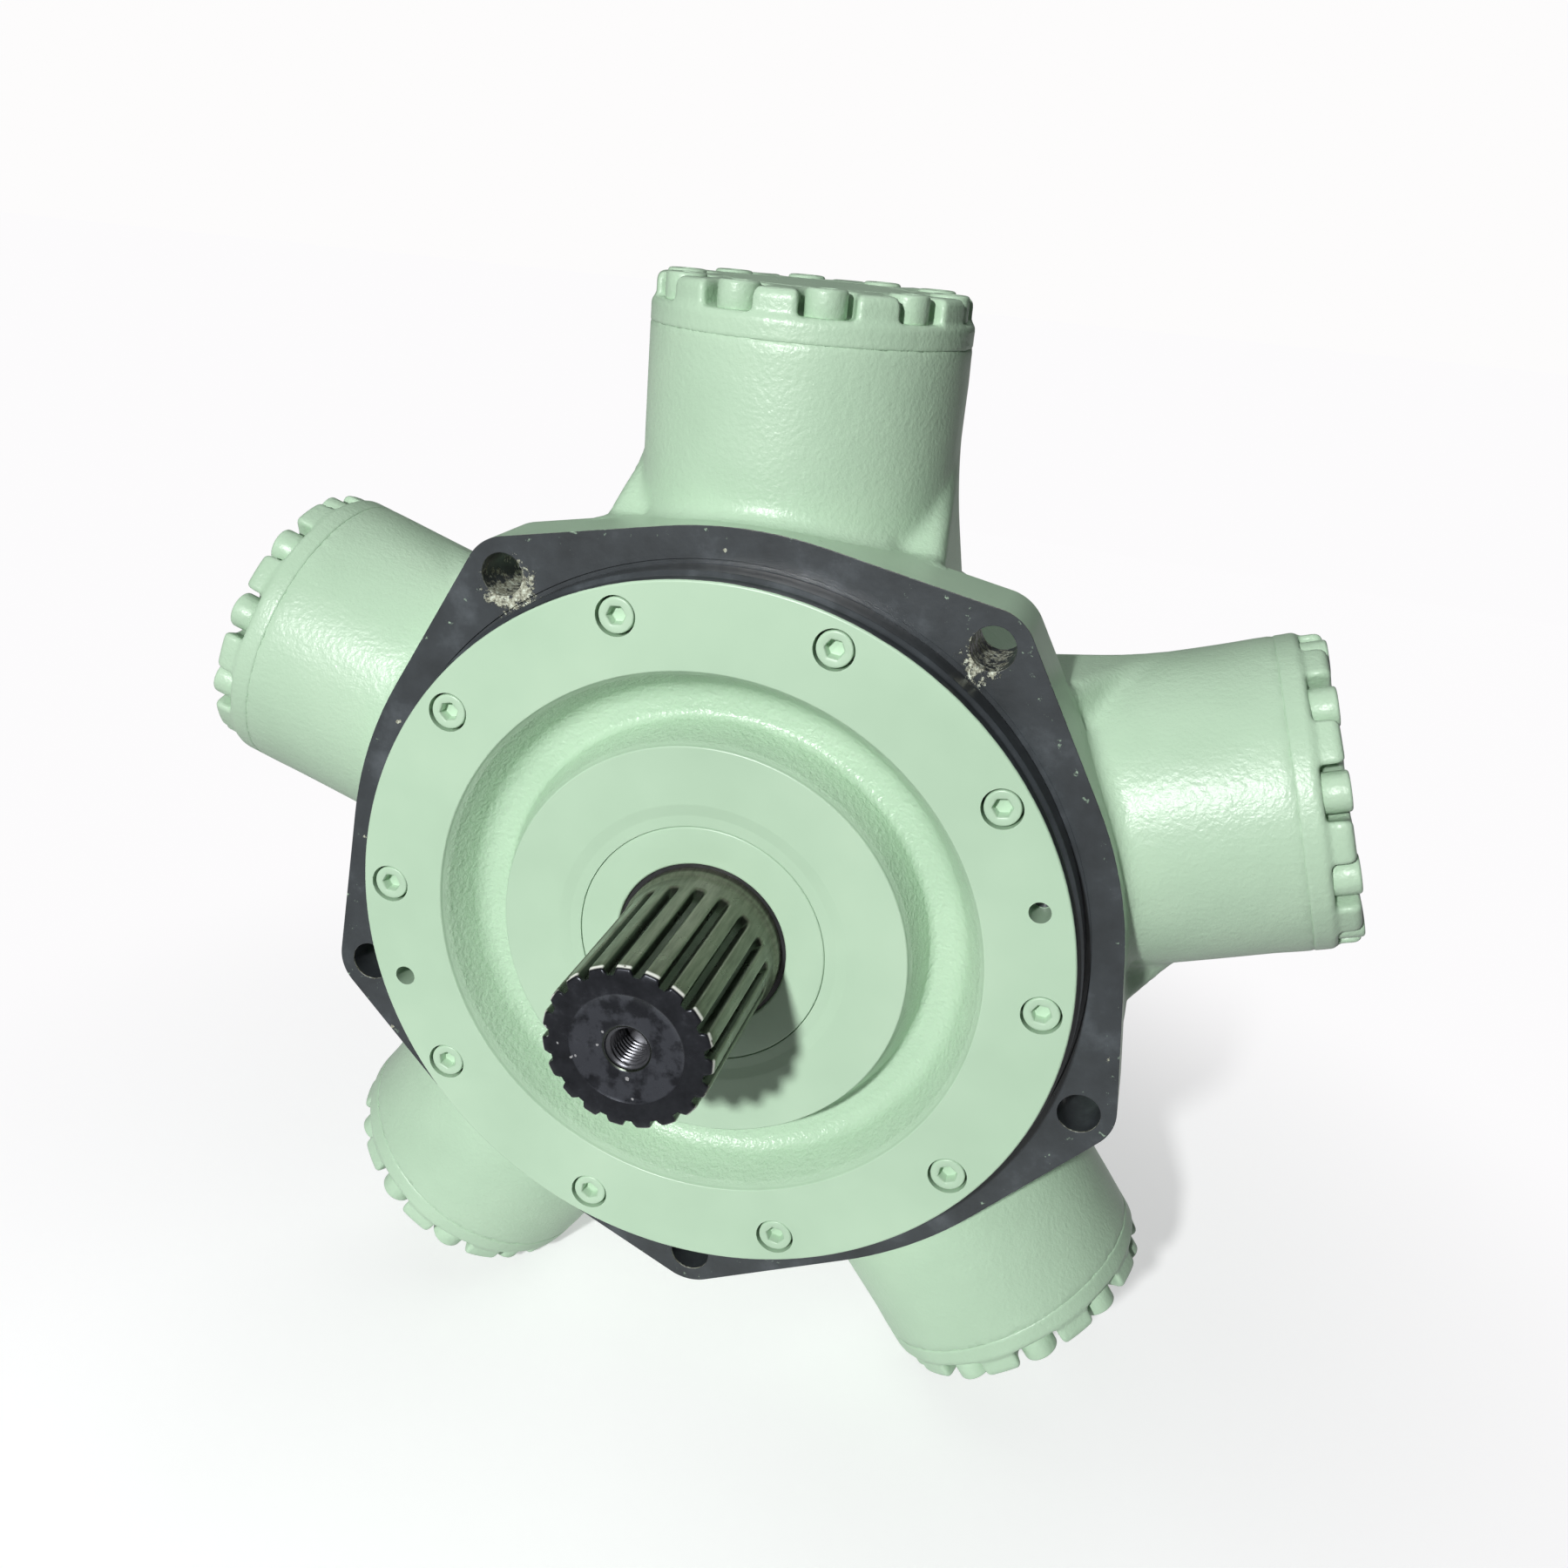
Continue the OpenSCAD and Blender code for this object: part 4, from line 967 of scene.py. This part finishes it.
def ring_group():
    """Node group: repeats one screw round a circle, each turned by a fixed chance amount."""
    group = bpy.data.node_groups.new("ring of screws", "GeometryNodeTree")
    for name, kind in (("Screw", "NodeSocketObject"), ("Count", "NodeSocketInt"),
                       ("Circle Radius", "NodeSocketFloat"), ("First Angle", "NodeSocketFloat"),
                       ("Seed", "NodeSocketInt"), ("Finish", "NodeSocketMaterial")):
        group.interface.new_socket(name, in_out="INPUT", socket_type=kind)
    group.interface.new_socket("Geometry", in_out="OUTPUT", socket_type="NodeSocketGeometry")
    start = add_node(group, "NodeGroupInput").outputs
    circle = add_node(group, "GeometryNodeMeshCircle",
                      [("Vertices", start["Count"]), ("Radius", start["Circle Radius"])])
    screw = add_node(group, "GeometryNodeObjectInfo", [("Object", start["Screw"])])
    spin = add_node(group, "FunctionNodeRandomValue", [("Seed", start["Seed"])], data_type="FLOAT")
    spin.inputs[3].default_value = 2 * math.pi
    angle = add_node(group, "ShaderNodeCombineXYZ", [("Z", spin.outputs[1])])
    many = add_node(group, "GeometryNodeInstanceOnPoints",
                    [("Points", circle.outputs[0]), ("Instance", screw.outputs["Geometry"]),
                     ("Rotation", angle.outputs[0])])
    first = add_node(group, "ShaderNodeCombineXYZ", [("Z", start["First Angle"])])
    whole = add_node(group, "GeometryNodeTransform",
                     [("Geometry", many.outputs[0]), ("Rotation", first.outputs[0])])
    solid = add_node(group, "GeometryNodeRealizeInstances", [(0, whole.outputs[0])])
    dressed = add_node(group, "GeometryNodeSetMaterial",
                       [(0, solid.outputs[0]), ("Material", start["Finish"])])
    add_node(group, "NodeGroupOutput", [(0, dressed.outputs[0])])
    return group


def screw_ring(name, group, screw, count, radius_mm, first_angle, seed, finish, matrix):
    """A realised ring of screws, in place."""
    holder = new_object(name, bpy.data.meshes.new(name))
    step = holder.modifiers.new("ring", "NODES")
    step.node_group = group
    values = {"Screw": screw, "Count": count, "Circle Radius": radius_mm * MM,
              "First Angle": math.radians(first_angle), "Seed": seed, "Finish": finish}
    for item in group.interface.items_tree:
        if item.in_out == "INPUT":
            step[item.identifier] = values[item.name]
    bpy.context.view_layer.update()
    bake(holder)
    holder.data.transform(matrix)
    return holder


# The motor's pieces


def cap_distance(p):
    """A cylinder cap in its cylinder's own frame: a band, and ribs between the notches of ten bolts."""
    x, y, z = p[..., 0], p[..., 1], p[..., 2]
    r = np.hypot(x, y)
    step = 2 * math.pi / CAP_BOLTS
    off = (np.arctan2(y, x) + step / 2) % step - step / 2
    out, beside = r * np.cos(off), r * np.sin(off)
    seat_z = SEAM_R + BAND_T
    band = soft_max(soft_max(r - ARM_R, SEAM_R - z, 1.2), z - seat_z, 4)
    crown = soft_max(r - ARM_R + CROWN_INSET, z - CAP_FACE, 5)
    wall = np.where(out < CAP_BOLT_R, np.hypot(out - CAP_BOLT_R, beside), np.abs(beside)) - NOTCH_R
    crown = soft_max(crown, -wall, 3.2)
    crown = np.maximum(crown, seat_z - 3 - z)
    ring = np.abs(r - FACE_RING_R) - FACE_RING_W / 2
    crown = soft_max(crown, -np.maximum(ring, CAP_FACE - FACE_RING_D - z), 1.2)
    shape = soft_min(band, crown, 2.4)
    waves = np.sin(x / 9 + 1.1 * np.sin(y / 11)) * np.sin(y / 8 + z / 7)
    shape = shape + CAP_WAVE * waves * np.clip((z - SEAM_R - 3) / 6, 0, 1)
    # Its plug in the cylinder
    plug = np.maximum(r - BORE_R + CAP_PLUG_GAP, np.maximum(CAP_INNER - z, z - SEAM_R - 2))
    return np.minimum(shape, plug)


def flange_outline():
    """Points of the mounting flange's outline as (x, z), all the way round."""
    tangent = math.degrees(math.acos((FLANGE_R - CORNER_R) / CORNER_AT))
    made = []
    for i in range(CYLINDERS):
        corner = 90 + PITCH / 2 + PITCH * i
        made += [around(a, FLANGE_R, 0) for a in np.linspace(corner - PITCH / 2, corner - tangent, 6)]
        middle = np.array(around(corner, CORNER_AT, 0))
        made += [tuple(middle + np.array(around(corner + a, CORNER_R, 0)))
                 for a in np.linspace(-tangent, tangent, 19)]
        made += [around(a, FLANGE_R, 0) for a in np.linspace(corner + tangent, corner + PITCH / 2, 6)[:-1]]
    return [(p[0], p[2]) for p in made]


def make_flange_plate():
    """The machined front of the flange, which the casting carries: holes, and a relief round the spigot."""
    outline = np.array(flange_outline())
    front = np.stack([outline[:, 0], np.zeros(len(outline)), outline[:, 1]], -1)
    rear = front + np.array((0, FLANGE_T - 0.4, 0))
    verts, faces = loft([front, rear], True, True)
    plate = mesh_piece("flange_plate", verts, faces, False)
    point_out(plate)
    through = FLANGE_T + 2 * CUT_PAST
    cutters = [drill((0, -CUT_PAST, 0), PLUG_R + PLUG_GAP / 2, through, 160)]
    for i in range(CYLINDERS):
        corner = 90 - PITCH / 2 - PITCH * i
        cutters.append(drill(around(corner, HOLE_CIRCLE_R, -CUT_PAST), HOLE_R, through, 56))
    cutters.append(turned("groove", [(SPIGOT_R - 1, -1), (SPIGOT_R + RELIEF_W, -1),
                                     (SPIGOT_R + RELIEF_W, RELIEF_D), (SPIGOT_R - 1, RELIEF_D)], 160))
    cut_by(plate, cutters)
    soften(plate, FLANGE_EDGE, 50, 3)
    return plate


def make_cover():
    """The front cover: turned rim and hub, and between them a cast trough with a soft outer wall."""
    face, floor_y = COVER_FACE, COVER_FACE + TROUGH_DEPTH
    steep = math.radians(COVE_ANGLE)
    wall = TROUGH_DEPTH - COVE_R * (1 - math.cos(steep))
    foot = TROUGH_R - wall / math.tan(steep) - COVE_R * math.sin(steep)
    cove = [(foot + COVE_R * math.sin(t), floor_y - COVE_R * (1 - math.cos(t)), 0)
            for t in np.linspace(0, steep, 12)]
    seat_r = RETAINER_R + RETAINER_GAP
    seal_y = face + COVER_SEAL_T
    rim_y = face + COVER_RIM_T
    hub = [(seat_r, face + HUB_DIP, 0.3), (RETAINER_R + 6, face + HUB_DIP, 5), (RETAINER_R + 12, face, 6),
           (HUB_R, face, 1.0), (HUB_R + 8, floor_y, 5)]
    rim = [(TROUGH_R, face, 0.9), (COVER_R, face, 1.2), (COVER_R, rim_y, 1.5),
           (SPIGOT_R, rim_y + COVER_RIM_SLOPE, 0.8), (SPIGOT_R, -COVER_GAP, 0)]
    plug = [(PLUG_R, -COVER_GAP, 0), (PLUG_R, PLUG_T, 0.8), (COVER_PLUG_IN_R, PLUG_T, 0)]
    sleeve = [(COVER_PLUG_IN_R, COVER_SLEEVE_END, 1), (COVER_SLEEVE_R, COVER_SLEEVE_END, 0),
              (COVER_SLEEVE_R, COVER_SLEEVE_FLOOR, 0), (COVER_SEAL_R, COVER_SLEEVE_FLOOR, 0),
              (COVER_SEAL_R, seal_y, 0), (seat_r, seal_y, 0)]
    cover = turned("front_cover_body", rounded(hub + cove + rim + plug + sleeve), 288)
    point_out(cover)
    cutters = []
    for k in range(COVER_SCREWS):
        place = around(360 * k / COVER_SCREWS, COVER_SCREW_R, face - CUT_PAST)
        cutters.append(drill(place, COUNTERBORE_R, COUNTERBORE_T + CUT_PAST, 48))
    for a in JACKING_ANGLES:
        place = around(a, COVER_SCREW_R, face - CUT_PAST)
        cutters.append(drill(place, JACKING_R, JACKING_DEPTH + CUT_PAST, 40))
    cut_by(cover, cutters)
    soften(cover, COVER_EDGE, 55, 2)
    return cover


def make_retainer():
    """The flat ring that holds the shaft seal in the cover's middle."""
    face = COVER_FACE + HUB_DIP
    out_r = RETAINER_R - 0.1
    ring = turned("retainer_ring", rounded([
        (RETAINER_IN_R, face, 1.2), (out_r, face, 0.9), (out_r, face + RETAINER_T, 0),
        (RETAINER_IN_R, face + RETAINER_T, 0)]), 192)
    point_out(ring)
    ring.data.set_sharp_from_angle(angle=math.radians(40))
    return ring


def tooth_share(theta):
    """How far the spline stands up at an angle, from 0 in a groove to 1 on a tooth's top."""
    phase = (theta / (2 * math.pi) * TEETH) % 1.0
    off = np.abs(phase - 0.5) * 2
    rise = np.clip((0.74 - off) / 0.26, 0, 1)
    return rise ** 0.72


def make_shaft():
    """The crankshaft: the CAD shaft behind the seal, and a finely cut splined end in front of it."""
    count = TEETH * TOOTH_STEPS
    theta = np.arange(count) * 2 * math.pi / count
    share = tooth_share(theta + math.pi / TEETH)
    end, full = -SHAFT_END, -SHAFT_END + SPLINE_L

    def ring(radius, y):
        radius = np.broadcast_to(radius, theta.shape)
        return np.stack([radius * np.cos(theta), np.broadcast_to(y, theta.shape), radius * np.sin(theta)], -1)

    def toothed(tip, y, depth=1.0):
        root = tip - (tip - ROOT_R) * depth
        return ring(root + (tip - root) * share, y)

    rings = [ring(SEAL_R, CUT_Y), ring(SEAL_R, COVER_FACE - 3.2), ring(SEAL_R - 0.5, COVER_FACE - 4.2),
             ring(TIP_R, COVER_FACE - 5.6), ring(TIP_R, COVER_FACE - 9)]
    for y in np.linspace(full + 10, full, 11):
        rise = RUN_OUT - math.sqrt(RUN_OUT ** 2 - (y - full) ** 2)
        depth = max(0.0, 1 - rise / (TIP_R - ROOT_R))
        rings.append(toothed(TIP_R, y, depth))
    for y in np.linspace(full, end + 2.2, 14)[1:]:
        rings.append(toothed(TIP_R, y))
    rings += [toothed(TIP_R - 0.35, end + 1.2), toothed(TIP_R - 1.1, end + 0.4)]
    edge = toothed(TIP_R - 1.7, end)
    rings.append(edge)
    inner = ring(END_RECESS_R + 1, end)
    for t in (0.3, 0.6, 0.85, 1.0):
        rings.append(edge * (1 - t) + inner * t)
    recess_y = end + END_RECESS_T
    rings += [ring(END_RECESS_R + 0.2, end + 0.05), ring(END_RECESS_R - 0.3, recess_y),
              ring(END_RECESS_R - 4, recess_y), ring(END_HOLE_R + 4, recess_y),
              ring(END_HOLE_R + 3.4, recess_y + 0.1)]
    # The tapped hole: a countersink that turns into a thread
    turn = theta / (2 * math.pi)
    for y in np.arange(end + 1.2, end + END_HOLE_T, THREAD_PITCH / 7):
        wave = 1 - np.abs(2 * (((y - end) / THREAD_PITCH + turn) % 1.0) - 1)
        crest = THREAD_DEPTH * np.clip(wave * 1.3 - 0.15, 0, 1)
        start = min(1.0, (y - end) / 4.2)
        rings.append(ring(END_HOLE_R + 3.2 * (1 - start) + crest * start, y))
    rings += [ring(END_HOLE_R, end + END_HOLE_T + 1), ring(1, end + END_HOLE_T + 4)]
    verts, faces = loft(rings, False, True)
    front = mesh_piece("shaft_front", verts, faces)
    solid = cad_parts["crankshaft"]
    made = bmesh.new()
    made.from_mesh(solid.data)
    made.transform(solid.matrix_world)
    whole = made.verts[:] + made.edges[:] + made.faces[:]
    bmesh.ops.bisect_plane(made, geom=whole, plane_co=(0, CUT_Y * MM, 0), plane_no=(0, -1, 0),
                           clear_outer=True)
    made.from_mesh(front.data)
    mesh = bpy.data.meshes.new("splined_shaft")
    bmesh.ops.recalc_face_normals(made, faces=made.faces)
    made.to_mesh(mesh)
    made.free()
    mesh.shade_smooth()
    mesh.set_sharp_from_angle(angle=math.radians(32))
    bpy.data.objects.remove(front)
    return new_object("splined_shaft", mesh)


def softened_copy(node, width_mm, name):
    """A copy of a node's solid with its flats cleaned up and its sharp edges broken."""
    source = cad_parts[node]
    mesh = source.data.copy()
    mesh.transform(source.matrix_world)
    made = bmesh.new()
    made.from_mesh(mesh)
    bmesh.ops.remove_doubles(made, verts=made.verts, dist=0.01 * MM)
    bmesh.ops.dissolve_limit(made, angle_limit=math.radians(1), verts=made.verts, edges=made.edges)
    made.to_mesh(mesh)
    made.free()
    mesh.name = name
    copy = new_object(name, mesh)
    soften(copy, width_mm, 30, 2)
    return copy


# The studio
make_camera()
make_lights()
make_world()
make_floor()

# The finishes
CAST = cast_enamel()
SMOOTH = smooth_enamel()
COVER = cover_enamel()
FLANGE = flange_paint()
SPLINE = spline_steel()
GROUND = machined_metal("ground bearing steel", "#8C9092", "#A4A8AA", 0.25)
BRONZE = machined_metal("satin bronze", "#A5793E", "#BE9355", 0.35)
RUBBER = black_rubber()

# What the solids wear that no piece below replaces; the rest of them are ground steel
FINISH = {"front_cover_o_ring": RUBBER, "shaft_seal": RUBBER, "distributor_o_ring": RUBBER,
          "rotor_seal_rings": BRONZE}
for i in range(1, CYLINDERS + 1):
    FINISH["cap_o_ring_%d" % i] = RUBBER
    FINISH["piston_rings_%d" % i] = BRONZE
for node_name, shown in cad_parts.items():
    dress(shown, FINISH.get(node_name, GROUND))

# Casing: the rough casting and the machined front of its flange
body_grid, cap_grid = ((BODY_GRID, CAP_GRID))
body = skin("cast_body", cast_distance, BODY_LOW, BODY_HIGH, body_grid)
stand_in(body, "casing", CAST)
stand_in(make_flange_plate(), "casing", FLANGE)
stand_in(make_cover(), "front_cover", COVER)
stand_in(make_retainer(), "seal_retainer", SMOOTH)
stand_in(make_shaft(), "crankshaft", SPLINE, body="output_shaft")

# Screws in the cover's counterbores
rings = ring_group()
cover_screw = socket_head("cover_screw", M12_HEAD_R, M12_HEAD_H, COVER_SCREW_L, 0.9)
cap_screw = socket_head("cap_screw", M12_HEAD_R + PAINT, M12_HEAD_H + PAINT, CAP_BOLT_L, 1.8)
facing_out = Matrix.Rotation(math.radians(90), 4, "X")
seat = Matrix.Translation((0, (COVER_FACE + COUNTERBORE_T) * MM, 0)) @ facing_out
screws = screw_ring("cover_screw_ring", rings, cover_screw, COVER_SCREWS, COVER_SCREW_R, first_angle=0,
                    seed=7, finish=SMOOTH, matrix=seat)
stand_in(screws, "front_cover_screws")

# Caps and their bolts, the same on each cylinder
cap = skin("cap_form", cap_distance, (-83, -83, CAP_INNER), (83, 83, CAP_FACE + 1), cap_grid)
for i in range(1, CYLINDERS + 1):
    here = on_arm_matrix(i)
    stand_in(placed(cap, here, "cap_casting_%d" % i), "cylinder_cap_%d" % i, CAST)
    seat = here @ Matrix.Translation((0, 0, (SEAM_R + BAND_T) * MM))
    bolts = screw_ring("cap_bolt_ring_%d" % i, rings, cap_screw, CAP_BOLTS, CAP_BOLT_R, first_angle=0,
                       seed=20 + i, finish=CAST, matrix=seat)
    stand_in(bolts, "cap_bolts_%d" % i)
for spare in (cap, cover_screw, cap_screw):
    bpy.data.objects.remove(spare)

# Rear pieces: the solids themselves with their edges broken
for node_name, width, finish, slot in (("distributor_housing", 1.2, CAST, "green_paint"),
                                       ("rear_cover", 0.8, SMOOTH, "green_paint"),
                                       ("distributor_screws", 0.4, SMOOTH, "screws"),
                                       ("rear_cover_screws", 0.4, SMOOTH, "screws"),
                                       ("drain_plug", 0.4, SMOOTH, "screws")):
    stand_in(softened_copy(node_name, width, node_name + "_finished"), node_name, finish)

bpy.context.scene.view_settings.view_transform = "Standard"
